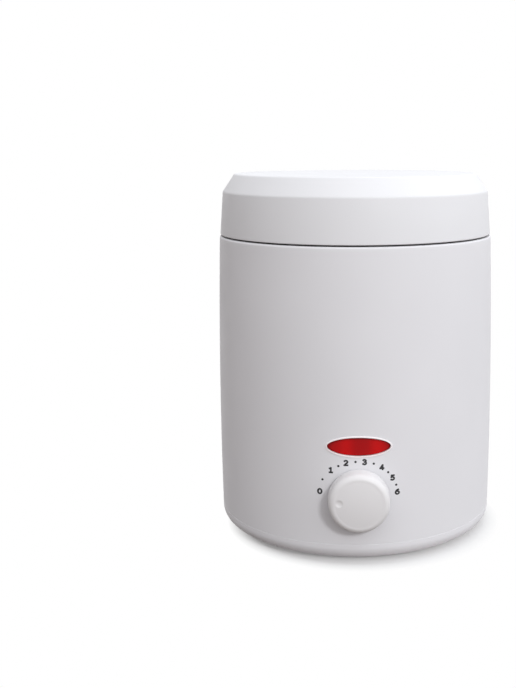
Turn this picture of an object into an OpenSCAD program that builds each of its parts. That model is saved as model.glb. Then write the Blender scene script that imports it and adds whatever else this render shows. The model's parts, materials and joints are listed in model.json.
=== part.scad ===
// Small electric wax warmer: a moulded body with a heated cup, a lift-out wax pot with a bail,
// a loose lid, and a dial thermostat with an indicator lamp.
// Millimetres, +Z up. The origin is on the table under the centre of the body, the front is at -Y.

/* [Body] */
// Outer diameter of the body wall at its top edge
body_top_d = 100.9; // [99:0.1:106]
// Outer diameter of the body wall just above the base corner
body_base_d = 104.6; // [102:0.1:110]
// How far the wall swells outside a straight line at mid height
barrel_bulge = 0.65; // [0:0.05:1.5]
// Thickness of the body wall
body_wall = 2.2; // [1.8:0.1:2.6]
// Rounding of the top edge's outer corner
rim_round = 1.2; // [0.6:0.1:1.5]
// Depth of the cup's ledge below the top edge
ledge_drop = 7.4; // [7:0.1:9]
// Thickness of the cup's ledge
ledge_t = 2.0; // [1.5:0.1:3]

/* [Base pan] */
// Height of the pan's underside above the table
foot_gap = 1.2; // [0.8:0.1:2.5]
// Height of the pan from its underside to the joint with the body
pan_h = 6.3; // [5.6:0.1:8]
// Thickness of the pan's floor and wall
pan_t = 2.2; // [1.8:0.1:2.6]
// How far the bottom corner of the pan runs inwards
corner_run = 6; // [4:0.5:7]
// How far the bottom corner of the pan rises
corner_rise = 5; // [3:0.5:5]
// Bevel on both edges of the joint line
joint_bevel = 0.3; // [0.1:0.05:0.5]
// Height of the locating lip above the joint
lip_h = 3; // [2:0.5:3.5]
// Thickness of the locating lip
lip_t = 1.7; // [1.2:0.1:2.2]
// Radial clearance of the locating lip inside the body
lip_gap = 0.3; // [0.2:0.05:0.5]
// Diameter of a rubber foot
foot_d = 12; // [8:0.5:14]
// Depth of a foot's recess
foot_inset = 1; // [0.6:0.1:1.4]
// Diameter of the circle the feet stand on
foot_circle_d = 74; // [68:1:76]
// Diameter of the circle of base screws
screw_circle_d = 84; // [80:0.5:86]
// Diameter of a vent hole
vent_d = 4; // [2:0.5:5]
// Number of vent holes
vent_count = 12; // [6:1:16]
// Diameter of the circle of vent holes
vent_circle_d = 38; // [34:1:42]

/* [Lid] */
// How far the lid's lower edge stands back from the body's wall
lid_inset = 0.25; // [0:0.05:0.8]
// How far the skirt narrows on each side from the lower edge to the shoulder
lid_taper = 1.3; // [0.5:0.1:2.5]
// Width of the sloping band, seen from above
lid_slope_w = 4.4; // [3:0.1:8]
// Height of the lid above the body's top edge
lid_h = 22.3; // [20:0.1:30]
// Height of the sloping band between shoulder and top
lid_slope_h = 6.4; // [4:0.1:9]
// Thickness of the lid's wall and top
lid_wall = 2.2; // [1.8:0.1:2.6]
// Visible gap between the lid's outer edge and the body
seam_gap = 0.5; // [0.3:0.05:0.8]
// Rounding of the lid's edges
lid_round = 0.7; // [0.3:0.1:1]
// Depth of the lid's lip inside the body's mouth
lid_lip_h = 3.8; // [3:0.1:4]
// Thickness of the lid's lip
lid_lip_t = 1.6; // [1.2:0.1:2]
// Radial clearance of the lid's lip in the mouth
lid_lip_gap = 0.4; // [0.3:0.05:0.6]

/* [Wax pot and cup] */
// Distance from the body's mouth in to the pot's side
pot_inset = 8.45; // [7.8:0.05:10]
// Height of the pot's underside above the table
pot_floor_z = 49.8; // [49:0.1:54]
// Depth of the wax pot below its rim, which the body's height follows
pot_depth = 56; // [50:0.5:66]
// Thickness of the pot's sheet
pot_wall = 1; // [0.8:0.1:1.4]
// Rounding of the pot's bottom corner
pot_round = 5; // [3:0.5:8]
// How far the pot's rim reaches out
rim_w = 3.2; // [2.8:0.1:3.6]
// Height of the pot's rim
rim_h = 2.2; // [1.6:0.1:2.6]
// Radial clearance between the pot and the cup
pot_gap = 0.6; // [0.4:0.1:1]
// Clearance under the pot's floor
floor_gap = 0.6; // [0.4:0.1:1.2]
// Thickness of the cup's sheet
cup_wall = 1.2; // [1:0.1:1.5]
// Thickness of the silicone ring under the cup's flange
gasket_t = 1.2; // [0.8:0.1:1.5]
// Diameter of the bail's wire
wire_d = 2.3; // [2:0.1:2.6]
// Running clearance of the bail's wire in the ears
wire_gap = 0.07; // [0.03:0.01:0.1]
// Thickness of an ear
ear_t = 1; // [0.8:0.1:1.4]
// Width of an ear's plate
ear_w = 12; // [10:0.5:15]

/* [Heater] */
// Thickness of the mica sheet
mica_t = 0.6; // [0.4:0.1:1]
// Outer diameter of the heating ring
ring_d = 64; // [56:1:68]
// Inner diameter of the heating ring
ring_bore_d = 30; // [24:1:34]
// Thickness of the heating ring
ring_t = 2; // [1.5:0.1:2.5]
// Diameter of the clamp plate
clamp_d = 50; // [46:1:52]
// Thickness of the clamp plate
clamp_t = 1.5; // [1:0.1:2]
// Diameter of the centre stud
stud_d = 4; // [3.5:0.1:5]
// Length of the spacer between the stud's upper nut and the heat shield
spacer_h = 2.2; // [2:0.1:3]
// Diameter of the heat shield
shield_d = 75; // [72:1:76]
// Thickness of the heat shield's sheet
shield_t = 0.6; // [0.5:0.1:1]
// Thickness of the strap that holds the cup down
strap_t = 1.5; // [1.2:0.1:2]
// Width of the strap
strap_w = 12; // [10:0.5:14]

/* [Knob and thermostat] */
// Height of the knob's axis above the table
knob_z = 24.6; // [23:0.1:26]
// Diameter of the knob at its back
knob_back_d = 21.6; // [19:0.1:22]
// Diameter of the knob at its front
knob_front_d = 20.2; // [18:0.1:20.6]
// How far the knob stands out from the wall
knob_proj = 7; // [6:0.1:12]
// Clearance between the knob and the wall
knob_gap = 0.5; // [0.4:0.1:1]
// Rounding of the knob's front edge
knob_round = 1.2; // [0.8:0.1:1.8]
// Crown of the knob's face
knob_crown = 0.4; // [0.1:0.1:0.8]
// Thickness of the knob's skirt and face
knob_wall = 1.5; // [1.2:0.1:2]
// Diameter of the knob's pointer dimple
dimple_d = 2.8; // [2:0.1:3.5]
// Angle of the pointer at rest, counter-clockwise from the right
pointer_angle = 175; // [160:1:180]
// Diameter of the spindle
spindle_d = 6; // [5:0.1:6.4]
// Height of the spindle's D above its centre
spindle_flat = 1.5; // [1:0.1:2]
// Running clearance of the spindle in its bushing
spindle_gap = 0.05; // [0.02:0.01:0.09]
// Diameter of the ceramic rings in the leaf stack
ceramic_d = 8.4; // [7:0.1:9]
// Width of the contact leaves
leaf_w = 5; // [4:0.1:6]

/* [Indicator lamp] */
// Height of the lens centre above the table
lens_z = 43.2; // [43:0.1:43.6]
// Width of the lens
lens_w = 21.8; // [16:0.1:23]
// Height of the lens
lens_h = 6.5; // [5:0.1:6.6]
// How far the lens lies below the wall's surface
lens_recess = 0.5; // [0.2:0.1:0.8]
// Thickness of the lens
lens_t = 2; // [1.6:0.1:2.4]
// Diameter of the lamp's glass
bulb_d = 5; // [4:0.1:5.2]
// Length of the lamp's glass
bulb_l = 14; // [11:0.5:15]

/* [Cord inlet] */
// Height of the cord's hole above the table
inlet_z = 16; // [15.6:0.1:18]
// Diameter of the hole for the cord
inlet_d = 7; // [6.4:0.1:7.4]
// Diameter of the gland's flange
gland_d = 14; // [13:0.1:15]
// How far the gland stands out from the wall
gland_proj = 3.6; // [2.5:0.1:5]
// Length of the narrow hole in the gland's nose, which fits the cord
gland_grip_l = 3; // [2:0.1:3.4]

/* [Hidden] */
$fn = 64;

// Small clearance between pieces that are fixed together
fit_gap = 0.05;
// Length that a cut runs past a face, and the length of a cut right through a wall
over = 1;
cut_l = 20;

// Heights from the table up
corner_z = foot_gap + corner_rise;
joint_z = foot_gap + pan_h;
pan_floor_z = foot_gap + pan_t;
body_top_z = pot_floor_z + pot_depth - cup_wall - gasket_t + ledge_drop;
ledge_z = body_top_z - ledge_drop;
flange_top_z = ledge_z + gasket_t + cup_wall;
cup_bottom_z = pot_floor_z - floor_gap - cup_wall;
rim_top_z = flange_top_z + rim_h;
bail_z = rim_top_z + wire_d / 2 + 0.35;
lid_top_z = body_top_z + lid_h;
shoulder_z = lid_top_z - lid_slope_h;

// Outer radius of the body wall at height z: a straight taper with a parabola on it
function wall_r(z) =
  let (t = (body_top_z - z) / (body_top_z - corner_z))
  (body_top_d + (body_base_d - body_top_d) * t) / 2 + 4 * barrel_bulge * t * (1 - t);

// Points of an arc about c with half-axes rx and ry, from angle a to angle b
function arc(c, rx, ry, a, b, n = 6) =
  [for (i = [0:n]) let (w = a + (b - a) * i / n) [c[0] + rx * cos(w), c[1] + ry * sin(w)]];

// Distance from the axis to the wall's inner face, measured at half width x
function inner_y(z, x) = sqrt(pow(wall_r(z) - body_wall, 2) - x * x);

// Radii at the mouth
mouth_r = wall_r(body_top_z) - body_wall;
pot_r = mouth_r - pot_inset;
cup_r = pot_r + pot_gap + cup_wall;
ledge_r = cup_r + 1;
flange_r = mouth_r - 1.4;

// Lays a child's +Z along the front direction, its origin on the axis of the body at height z
module facing_front(z) translate([0, 0, z]) rotate([90, 0, 0]) children();

// Straight round bar from point a to point b
module bar(a, b, r) {
  d = b - a;
  translate(a) rotate([0, acos(d[2] / norm(d)), atan2(d[1], d[0])]) cylinder(r = r, h = norm(d));
}

// Bent wire through a list of points. The bars stop short of each corner, inside its ball
module wire(points, r) {
  last = len(points) - 1;
  for (i = [1:last]) let (a = points[i - 1], b = points[i], step = (b - a) / norm(b - a) * r * 0.2)
    bar(i > 1 ? a + step : a, i < last ? b - step : b, r);
  for (i = [1:1:last - 1]) translate(points[i]) sphere(r = r * 1.06, $fn = 24);
}

// Hexagonal nut with its bore, lying on z = 0
module hex_nut(flats, bore_r, h) {
  difference() {
    cylinder(d = flats / cos(30), h = h, $fn = 6);
    translate([0, 0, -over]) cylinder(r = bore_r, h = h + 2 * over);
  }
}

// Pan-head screw with a cross recess, its head under z = 0 and its shank above
module screw(length) {
  difference() {
    union() {
      translate([0, 0, -screw_head_h]) cylinder(d = screw_head_d, h = screw_head_h);
      translate([0, 0, -over / 2]) cylinder(d = screw_core_d, h = length + over / 2);
    }
    for (a = [0, 90]) rotate([0, 0, a])
      translate([0, 0, -screw_head_h]) cube([screw_head_d * 0.6, recess_w, screw_head_h], center = true);
  }
}

// Self-tapping screws, the same size everywhere
screw_head_d = 5.4;
screw_head_h = 2;
recess_w = 0.7;
head_gap = 0.3;
pilot_d = 2.5;
screw_core_d = pilot_d - 0.1;
screw_hole_d = 3.4;
boss_d = 6.8;
lamp_boss_d = 5.8;
base_pilot_l = 15;
bracket_pilot_l = 5;
lamp_pilot_l = 3;
head_pocket_h = 2.6;
block_pocket_h = 1.2;

// Flat part of the body's rim, where the lid sits
seat_out_r = wall_r(body_top_z - rim_round) - rim_round;
lid_seat_r = seat_out_r - 0.1;

// Base screw bosses stand on posts in the pan
post_z = pan_floor_z + 2.4;
boss_top_z = post_z + 18;
screw_angles = [45, 135, 225, 315];

// Places the children at each base screw
module at_base_screws() {
  for (a = screw_angles) rotate([0, 0, a]) translate([screw_circle_d / 2, 0, 0]) children();
}

// Ears inside the pot, their rivets, and the bail's loop above the rim
rivet_d = 2.4;
rivet_z = flange_top_z - 7;
rivet_angle = 5.5;
ear_r = pot_r - pot_wall - fit_gap;
ear_tab_r = 2.9;
bail_r = pot_r + 1.9;

// Strap bosses hang from the wall at both sides, level with the strap's top
nut_h = 3.2;
nut_flats = 7;
mica_z = cup_bottom_z - mica_t;
ring_z = mica_z - ring_t;
clamp_z = ring_z - clamp_t;
upper_nut_z = clamp_z - nut_h;
shield_z = upper_nut_z - spacer_h - shield_t;
strap_z = shield_z - strap_t;
strap_boss_x = inner_y(strap_z, 0) - 6.4;
strap_boss_h = cup_bottom_z - 0.8 - shield_z;
strap_screw_l = strap_boss_h - 1;

// Thermostat: distances from the body's axis, all towards the front
knob_wall_y = wall_r(knob_z);
knob_hub_d = spindle_d + 3.2;
hub_reach = 5;
shaft_hole_d = knob_hub_d + 1.2;
bracket_screw_x = 13;
bracket_y = knob_wall_y - 9.2;
bracket_t = 1.2;
bracket_back_y = bracket_y - bracket_t;
bushing_d = spindle_d + 2;
bushing_front_y = bracket_y + 3;
bushing_back_y = bracket_back_y - 4.2;
bushing_flange_t = 2;
circlip_t = 0.6;
circlip_y = bushing_front_y + 0.1;
spindle_end_y = bushing_back_y + 2.6;
stack_z = knob_z - 12.8;
leaf_t = 0.3;
bimetal_t = 0.8;
ceramic_t = 2;
front_leaf_y = bracket_back_y - 6.2;
rear_leaf_y = front_leaf_y - leaf_t - ceramic_t;
bimetal_y = rear_leaf_y - leaf_t - ceramic_t;
stack_end_y = bimetal_y - bimetal_t;
stack_bore_d = 3.1;
leaf_top_z = knob_z + 5.4;
contact_z = knob_z + 2.9;
contact_t = 0.7;
tab_w = 4.8;
tab_x = 12;

// Lamp: the lens lies in an oval window, a holder behind it carries the bulb
lens_r = wall_r(lens_z) - lens_recess;
lens_flange = 1.4;
lens_back_r = wall_r(lens_z) - body_wall - lens_t;
lamp_screw_x = 17;
lamp_boss_y = inner_y(lens_z, lamp_screw_x) - 3.2;
lamp_ear_t = 1.5;
holder_h = 9;
lamp_lead_x = bulb_l / 2 + 1.2;
bulb_y = lens_back_r - 0.8 - bulb_d / 2 - 0.3;

// Cord inlet at the rear, with flat pads on both faces of the wall
pad_out_y = wall_r(inlet_z) + 0.4;
pad_in_y = inner_y(inlet_z, 9) - 0.4;
pad_d = 15.4;
gland_thread_d = inlet_d + 3.6;
gland_flange_t = 1.8;
gland_nut_t = 3.4;

// Terminal block and cord clamp on the pan's floor
block_size = [30, 14, 11];
pole_pitch = 9;
barrel_d = 5;
barrel_z = pan_floor_z + 5.6;
clamp_y = pad_in_y - gland_nut_t - 7.5;
block_y = clamp_y - 14;
clamp_post_x = 9;
clamp_post_h = inlet_z - inlet_d / 2 - pan_floor_z;
clamp_pilot_l = 8;
bridge_t = 2.6;

// Internal leads, and the heights at which they meet the leaves' tabs
lead_r = 1.1;
pole_y = block_y - 5;
lead_side_x = 22;
lead_turn = 6;
tab_y_front = -front_leaf_y + leaf_t + lead_r + fit_gap;
tab_y_rear = -rear_leaf_y + leaf_t + lead_r + fit_gap;
thin_lead_r = 0.7;
ring_foot_z = clamp_z - 2.4;
lead_hole_d = 9;
lead_hole_x = 13;
lead_hole_y = 25;
fuse_r = 2;
fuse_l = 11;
fuse_y = 17;
fuse_z = clamp_z - fuse_r - 0.1;
lamp_run_x = 20;
lamp_run_z = strap_z - 2.4;
resistor_y = -26;
resistor_l = 7;

// The body wall with its rim, ledge and bosses
module body_shell() {
  steps = 6;
  rise_z = body_top_z - rim_round;
  wall_low = joint_z + joint_bevel;
  outer = [for (i = [0:steps]) let (z = wall_low + (rise_z - wall_low) * i / steps) [wall_r(z), z]];
  web_z = ledge_z - ledge_t - 4;
  mouth_bevel = 0.3;
  rib_t = 1.6;
  rib_low = joint_z + lip_h + 0.6;
  strap_rib_t = 2.4;
  inner = [for (i = [0:steps]) let (z = web_z + (joint_z - web_z) * i / steps)
    [wall_r(z) - body_wall, z]];
  color("whitesmoke") difference() {
    union() {
      rotate_extrude() polygon(concat(
        [[wall_r(joint_z) - joint_bevel, joint_z]],
        outer,
        arc([seat_out_r, rise_z], wall_r(rise_z) - seat_out_r, rim_round, 15, 90, 5),
        [[mouth_r + mouth_bevel, body_top_z], [mouth_r, body_top_z - mouth_bevel], [mouth_r, ledge_z]],
        [[ledge_r, ledge_z], [ledge_r, ledge_z - ledge_t]],
        inner));
      at_base_screws() {
        translate([0, 0, post_z]) cylinder(d = boss_d, h = boss_top_z - post_z);
        translate([0, -rib_t / 2, rib_low])
          cube([wall_r(post_z) - (body_wall + screw_circle_d) / 2, rib_t, boss_top_z - rib_low]);
      }
      for (side = [0, 180]) rotate([0, 0, side]) {
        translate([strap_boss_x, 0, shield_z]) cylinder(d = boss_d, h = strap_boss_h);
        translate([strap_boss_x, -strap_rib_t / 2, shield_z])
          cube([wall_r(shield_z) - body_wall / 2 - strap_boss_x, strap_rib_t, strap_boss_h]);
      }
      for (side = [-1, 1]) {
        facing_front(knob_z) translate([side * bracket_screw_x, 0, bracket_y])
          cylinder(d = boss_d, h = inner_y(knob_z, bracket_screw_x + boss_d / 2) + over - bracket_y);
        facing_front(lens_z) translate([side * lamp_screw_x, 0, lamp_boss_y])
          cylinder(d = lamp_boss_d, h = inner_y(lens_z, lamp_screw_x + boss_d / 2) + over - lamp_boss_y);
      }
      translate([0, pad_in_y, inlet_z]) rotate([-90, 0, 0]) cylinder(d = pad_d, h = pad_out_y - pad_in_y);
    }
    at_base_screws() translate([0, 0, post_z - over]) cylinder(d = pilot_d, h = base_pilot_l + over);
    for (side = [0, 180]) rotate([0, 0, side])
      translate([strap_boss_x, 0, shield_z - over]) cylinder(d = pilot_d, h = strap_screw_l + over);
    for (side = [-1, 1]) {
      facing_front(knob_z) translate([side * bracket_screw_x, 0, bracket_y - over])
        cylinder(d = pilot_d, h = bracket_pilot_l + over);
      facing_front(lens_z) translate([side * lamp_screw_x, 0, lamp_boss_y - over])
        cylinder(d = pilot_d, h = lamp_pilot_l + over);
    }
    facing_front(knob_z) translate([0, 0, bracket_y]) cylinder(d = shaft_hole_d, h = cut_l);
    facing_front(lens_z) translate([0, 0, lens_back_r - 6])
      oval_prism(lens_w + 2 * fit_gap, lens_h + 2 * fit_gap, cut_l);
    translate([0, pad_in_y - over, inlet_z]) rotate([-90, 0, 0])
      cylinder(d = gland_thread_d + 2 * fit_gap, h = cut_l);
  }
}

// Upright oval prism on z = 0
module oval_prism(w, h, length) {
  linear_extrude(length) polygon([for (i = [0:47]) [w / 2 * cos(i * 7.5), h / 2 * sin(i * 7.5)]]);
}

// The bottom tray, which closes the body from below
module base_pan() {
  out_r = wall_r(corner_z);
  lip_r = wall_r(joint_z + lip_h) - body_wall - lip_gap;
  lip_in_r = lip_r - lip_t;
  lip_bevel = 0.4;
  fillet = 2;
  color("white") difference() {
    union() {
      rotate_extrude() polygon(concat(
        [[0, foot_gap]],
        arc([out_r - corner_run, corner_z], corner_run, corner_rise, -90, 0, 8),
        [[wall_r(joint_z), joint_z - joint_bevel], [wall_r(joint_z) - joint_bevel, joint_z]],
        [[lip_r, joint_z], [lip_r, joint_z + lip_h - lip_bevel], [lip_r - lip_bevel, joint_z + lip_h]],
        [[lip_in_r, joint_z + lip_h], [lip_in_r, pan_floor_z + fillet]],
        [[lip_in_r - fillet, pan_floor_z], [0, pan_floor_z]]));
      at_base_screws() cylinder_from(pan_floor_z - over, post_z, boss_d + over);
      for (x = [-clamp_post_x, clamp_post_x]) translate([x, clamp_y, 0])
        cylinder_from(pan_floor_z - over, pan_floor_z + clamp_post_h, boss_d);
    }
    at_base_screws() {
      cylinder_from(foot_gap - over, foot_gap + head_pocket_h, screw_head_d + 2 * head_gap);
      cylinder_from(foot_gap, post_z + over, screw_hole_d);
    }
    for (a = [0, 90, 180, 270]) rotate([0, 0, a]) translate([foot_circle_d / 2, 0, 0])
      cylinder_from(foot_gap - over, foot_gap + foot_inset, foot_d + 2 * fit_gap);
    for (i = [0:vent_count - 1]) rotate([0, 0, (i + 0.5) * 360 / vent_count])
      translate([vent_circle_d / 2, 0, 0]) cylinder_from(foot_gap - over, pan_floor_z + over, vent_d);
    for (x = [-clamp_post_x, clamp_post_x]) translate([x, clamp_y, 0])
      cylinder_from(pan_floor_z + clamp_post_h - clamp_pilot_l, pan_floor_z + clamp_post_h + over, pilot_d);
    translate([0, block_y, 0]) {
      cylinder_from(foot_gap - over, pan_floor_z + over, screw_hole_d);
      cylinder_from(foot_gap - over, foot_gap + block_pocket_h, screw_head_d + 2 * head_gap);
    }
    translate([-pad_d / 2 - over, lip_in_r - over, joint_z])
      cube([pad_d + 2 * over, lip_t + 2 * over, lip_h + over]);
  }
}

// Upright cylinder between two heights
module cylinder_from(low, high, d) translate([0, 0, low]) cylinder(d = d, h = high - low);

// Four rubber pads in their recesses
module feet() {
  edge = 0.5;
  color("dimgray") for (a = [0, 90, 180, 270]) rotate([0, 0, a]) translate([foot_circle_d / 2, 0, 0]) {
    cylinder(d1 = foot_d - 2 * edge, d2 = foot_d, h = edge);
    translate([0, 0, edge]) cylinder(d = foot_d, h = foot_gap + foot_inset - edge);
  }
}

// Four screws that hold the pan to the body
module base_screws() {
  color("silver") at_base_screws() translate([0, 0, foot_gap + head_pocket_h]) screw(post_z - foot_gap + 10);
}

// Silicone ring between the ledge and the cup's flange
module cup_gasket() {
  color("tomato") translate([0, 0, ledge_z]) difference() {
    cylinder(r = flange_r, h = gasket_t);
    translate([0, 0, -over]) cylinder(r = ledge_r + fit_gap, h = gasket_t + 2 * over);
  }
}

// Closed thin-walled cup profile: outer radius r, sheet t, corner radius c, floor z0, wall top z1
function cup_profile(r, t, c, z0, z1) = concat(
  [[0, z0]],
  arc([r - c, z0 + c], c, c, -90, 0, 6),
  [[r, z1], [r - t, z1]],
  arc([r - c, z0 + c], c - t, c - t, 0, -90, 6),
  [[0, z0 + t]]);

// Spun aluminium cup that carries the heat to the pot
module heater_cup() {
  color("lightgray") union() {
    rotate_extrude() polygon(cup_profile(cup_r, cup_wall, pot_round + 1.5, cup_bottom_z, flange_top_z));
    translate([0, 0, flange_top_z - cup_wall]) difference() {
      cylinder(r = flange_r, h = cup_wall);
      translate([0, 0, -over]) cylinder(r = cup_r - cup_wall / 2, h = cup_wall + 2 * over);
    }
  }
}

// Lift-out aluminium pot with a thick rim, and rivet holes for the ears
module wax_pot() {
  in_r = pot_r - pot_wall;
  out_r = pot_r + rim_w;
  edge = 0.8;
  color("gainsboro") difference() {
    union() {
      rotate_extrude() polygon(cup_profile(pot_r, pot_wall, pot_round, pot_floor_z, rim_top_z - edge));
      rotate_extrude() polygon(concat(
        [[in_r, flange_top_z], [out_r, flange_top_z]],
        arc([out_r - edge, rim_top_z - edge], edge, edge, 0, 90, 4),
        [[in_r + edge / 2, rim_top_z], [in_r, rim_top_z - edge / 2]]));
    }
    at_ear_rivets() cylinder(d = rivet_d + 2 * fit_gap, h = 20, center = true);
  }
}

// Places the children at each ear rivet, their +Z pointing outwards
module at_ear_rivets() {
  for (side = [0, 180], a = [-rivet_angle, rivet_angle]) rotate([0, 0, side + a])
    translate([pot_r, 0, rivet_z]) rotate([0, 90, 0]) children();
}

// Two ears inside the pot that carry the bail above the rim
module pot_ears() {
  plate_h = 8;
  low_z = rivet_z - plate_h / 2;
  tab_z = low_z + plate_h - over;
  color("silver") for (side = [0, 180]) rotate([0, 0, side]) difference() {
    intersection() {
      difference() {
        cylinder_from(low_z, bail_z + 10, 2 * ear_r);
        cylinder_from(low_z - over, bail_z + 20, 2 * (ear_r - ear_t));
      }
      union() {
        translate([0, -ear_w / 2, low_z]) cube([pot_r, ear_w, plate_h]);
        translate([0, -ear_tab_r, tab_z]) cube([pot_r, 2 * ear_tab_r, bail_z - tab_z]);
        translate([0, 0, bail_z]) rotate([0, 90, 0]) cylinder(r = ear_tab_r, h = pot_r);
      }
    }
    translate([0, 0, bail_z]) rotate([0, 90, 0]) cylinder(d = wire_d + 2 * wire_gap, h = pot_r + over);
    for (a = [-rivet_angle, rivet_angle]) rotate([0, 0, a]) translate([0, 0, rivet_z])
      rotate([0, 90, 0]) cylinder(d = rivet_d + 2 * fit_gap, h = pot_r + over);
  }
}

// Rivets that hold the ears, flush outside
module ear_rivets() {
  head_x = ear_r - ear_t - fit_gap - pot_r;
  head_t = 0.9;
  color("silver") at_ear_rivets() {
    translate([0, 0, head_x]) cylinder(d = rivet_d, h = -head_x - fit_gap);
    translate([0, 0, head_x - head_t]) cylinder(d1 = rivet_d, d2 = rivet_d + 1.6, h = head_t);
  }
}

// Wire handle folded to the rear, hooked through the ears
module bail_handle() {
  hook_x = ear_r - ear_t - 1.2;
  color("silver") translate([0, 0, bail_z]) union() {
    rotate_extrude(angle = 180) translate([bail_r, 0]) circle(d = wire_d);
    for (side = [0, 180]) rotate([0, 0, side]) {
      translate([bail_r, 0, 0]) sphere(r = wire_d / 2 * 1.01);
      translate([hook_x, 0, 0]) rotate([0, 90, 0]) cylinder(d = wire_d, h = bail_r - hook_x);
      translate([hook_x - 0.6, 0, 0]) rotate([0, 90, 0]) cylinder(d = wire_d + 1, h = 0.9);
    }
  }
}

// Moulded lid: a skirt, a sloping band and a flat top, with a lip that drops into the mouth
module lid() {
  seam_z = body_top_z + seam_gap;
  base_r = body_top_d / 2 - lid_inset;
  shoulder_r = base_r - lid_taper;
  top_r = shoulder_r - lid_slope_w;
  lip_r = mouth_r - lid_lip_gap;
  rake = atan2(base_r - shoulder_r, shoulder_z - seam_z);
  slope = atan2(shoulder_r - top_r, lid_slope_h);
  color("whitesmoke") rotate_extrude() polygon(concat(
    [[lip_r, body_top_z], [lid_seat_r, body_top_z], [lid_seat_r, seam_z]],
    arc([base_r - lid_round, seam_z + lid_round], lid_round, lid_round, -90, rake, 5),
    arc([shoulder_r - lid_round, shoulder_z - 0.2], lid_round, lid_round, rake, slope, 4),
    arc([top_r - lid_round, lid_top_z - lid_round], lid_round, lid_round, slope, 90, 4),
    [[0, lid_top_z], [0, lid_top_z - lid_wall]],
    [[top_r - lid_wall - 0.5, lid_top_z - lid_wall], [shoulder_r - lid_wall, shoulder_z - 0.8]],
    [[base_r - lid_wall - 0.3, seam_z + 1.6], [lip_r - lid_lip_t, body_top_z]],
    [[lip_r - lid_lip_t, body_top_z - lid_lip_h], [lip_r - 0.4, body_top_z - lid_lip_h]],
    [[lip_r, body_top_z - lid_lip_h + 0.4]]));
}

// Mica sheet between the heating ring and the cup
module mica_sheet() {
  color("burlywood") ring_plate(mica_z, mica_t, ring_d / 2 + 1, ring_bore_d / 2 - 1);
}

// Flat washer of inner radius b at height z
module ring_plate(z, t, r, b) {
  translate([0, 0, z]) difference() {
    cylinder(r = r, h = t);
    translate([0, 0, -over]) cylinder(r = b, h = t + 2 * over);
  }
}

// Wound heating ring with two terminals that hang down
module heating_ring() {
  color("dimgray") union() {
    ring_plate(ring_z, ring_t, ring_d / 2, ring_bore_d / 2);
    for (side = [-1, 1]) translate([side * lead_hole_x, lead_hole_y, 0])
      cylinder_from(ring_foot_z, ring_z + ring_t / 2, 3);
  }
}

// Steel plate that presses the ring against the cup
module clamp_plate() {
  color("silver") ring_plate(clamp_z, clamp_t, clamp_d / 2, stud_d / 2 + fit_gap);
}

// Threaded stud from the cup's floor down through the strap
module centre_stud() {
  color("silver") cylinder_from(strap_z - nut_h - 2, cup_bottom_z, stud_d);
}

// One nut under the clamp plate and one under the strap
module stud_nuts() {
  color("silver") for (z = [upper_nut_z, strap_z - nut_h])
    translate([0, 0, z]) hex_nut(nut_flats, stud_d / 2 + fit_gap, nut_h);
}

// Sleeve that keeps the shield below the upper nut
module stud_spacer() {
  color("silver") ring_plate(shield_z + shield_t, spacer_h, stud_d / 2 + 1.5, stud_d / 2 + fit_gap);
}

// Shallow dish that keeps the heat off the thermostat, with two holes for the leads
module heat_shield() {
  color("lightgray") difference() {
    union() {
      cylinder_from(shield_z, shield_z + shield_t, shield_d);
      ring_plate(shield_z, 3, shield_d / 2, shield_d / 2 - shield_t);
    }
    cylinder_from(shield_z - over, shield_z + over + shield_t, stud_d + 2 * fit_gap);
    for (side = [-1, 1]) translate([side * lead_hole_x, lead_hole_y, 0])
      cylinder_from(shield_z - over, shield_z + shield_t + over, lead_hole_d);
  }
}

// Steel strap across the body, pulled up under the two side bosses
module cup_strap() {
  half = strap_boss_x + 3;
  color("silver") difference() {
    translate([-half, -strap_w / 2, strap_z]) cube([2 * half, strap_w, strap_t]);
    cylinder_from(strap_z - over, strap_z + strap_t + over, stud_d + 2 * fit_gap);
    for (x = [-strap_boss_x, strap_boss_x]) translate([x, 0, 0])
      cylinder_from(strap_z - over, strap_z + strap_t + over, screw_hole_d);
  }
}

// Two screws that hold the strap
module strap_screws() {
  color("silver") for (x = [-strap_boss_x, strap_boss_x]) translate([x, 0, strap_z])
    screw(strap_t + strap_screw_l - 1);
}

// Thermal cut-out under the clamp plate, its leads left and right
module thermal_fuse() {
  color("goldenrod") translate([0, fuse_y, fuse_z]) rotate([0, 90, 0]) {
    cylinder(r = fuse_r, h = fuse_l, center = true);
    cylinder(r = thin_lead_r, h = fuse_l + 6, center = true);
  }
}

// Steel saddle that holds the cut-out against the clamp plate
module fuse_clip() {
  t = 0.8;
  in_r = fuse_r + fit_gap;
  w = 5;
  color("silver") translate([-w / 2, fuse_y, fuse_z]) rotate([90, 0, 90]) linear_extrude(w)
    difference() {
      union() {
        circle(r = in_r + t);
        translate([-in_r - t, 0]) square([2 * (in_r + t), clamp_z - fuse_z]);
        translate([-in_r - 4, clamp_z - fuse_z - t]) square([2 * in_r + 8, t]);
      }
      circle(r = in_r);
      translate([-in_r, 0]) square([2 * in_r, clamp_z - fuse_z + over]);
    }
}

// Steel plate behind the front wall that carries the thermostat
module thermostat_bracket() {
  low = stack_z - 5.4;
  color("silver") difference() {
    translate([0, -bracket_back_y, 0]) rotate([90, 0, 0]) linear_extrude(bracket_t) union() {
      translate([-5.5, low]) square([11, knob_z + 8 - low]);
      translate([-bracket_screw_x - 4, knob_z - 5]) square([2 * bracket_screw_x + 8, 10]);
    }
    facing_front(knob_z) translate([0, 0, bracket_back_y - over]) {
      cylinder(d = bushing_d + 2 * fit_gap, h = bracket_t + 2 * over);
      for (x = [-bracket_screw_x, bracket_screw_x]) translate([x, 0, 0])
        cylinder(d = screw_hole_d, h = bracket_t + 2 * over);
    }
    facing_front(stack_z) translate([0, 0, bracket_back_y - over])
      cylinder(d = stack_bore_d, h = bracket_t + 2 * over);
  }
}

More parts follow.
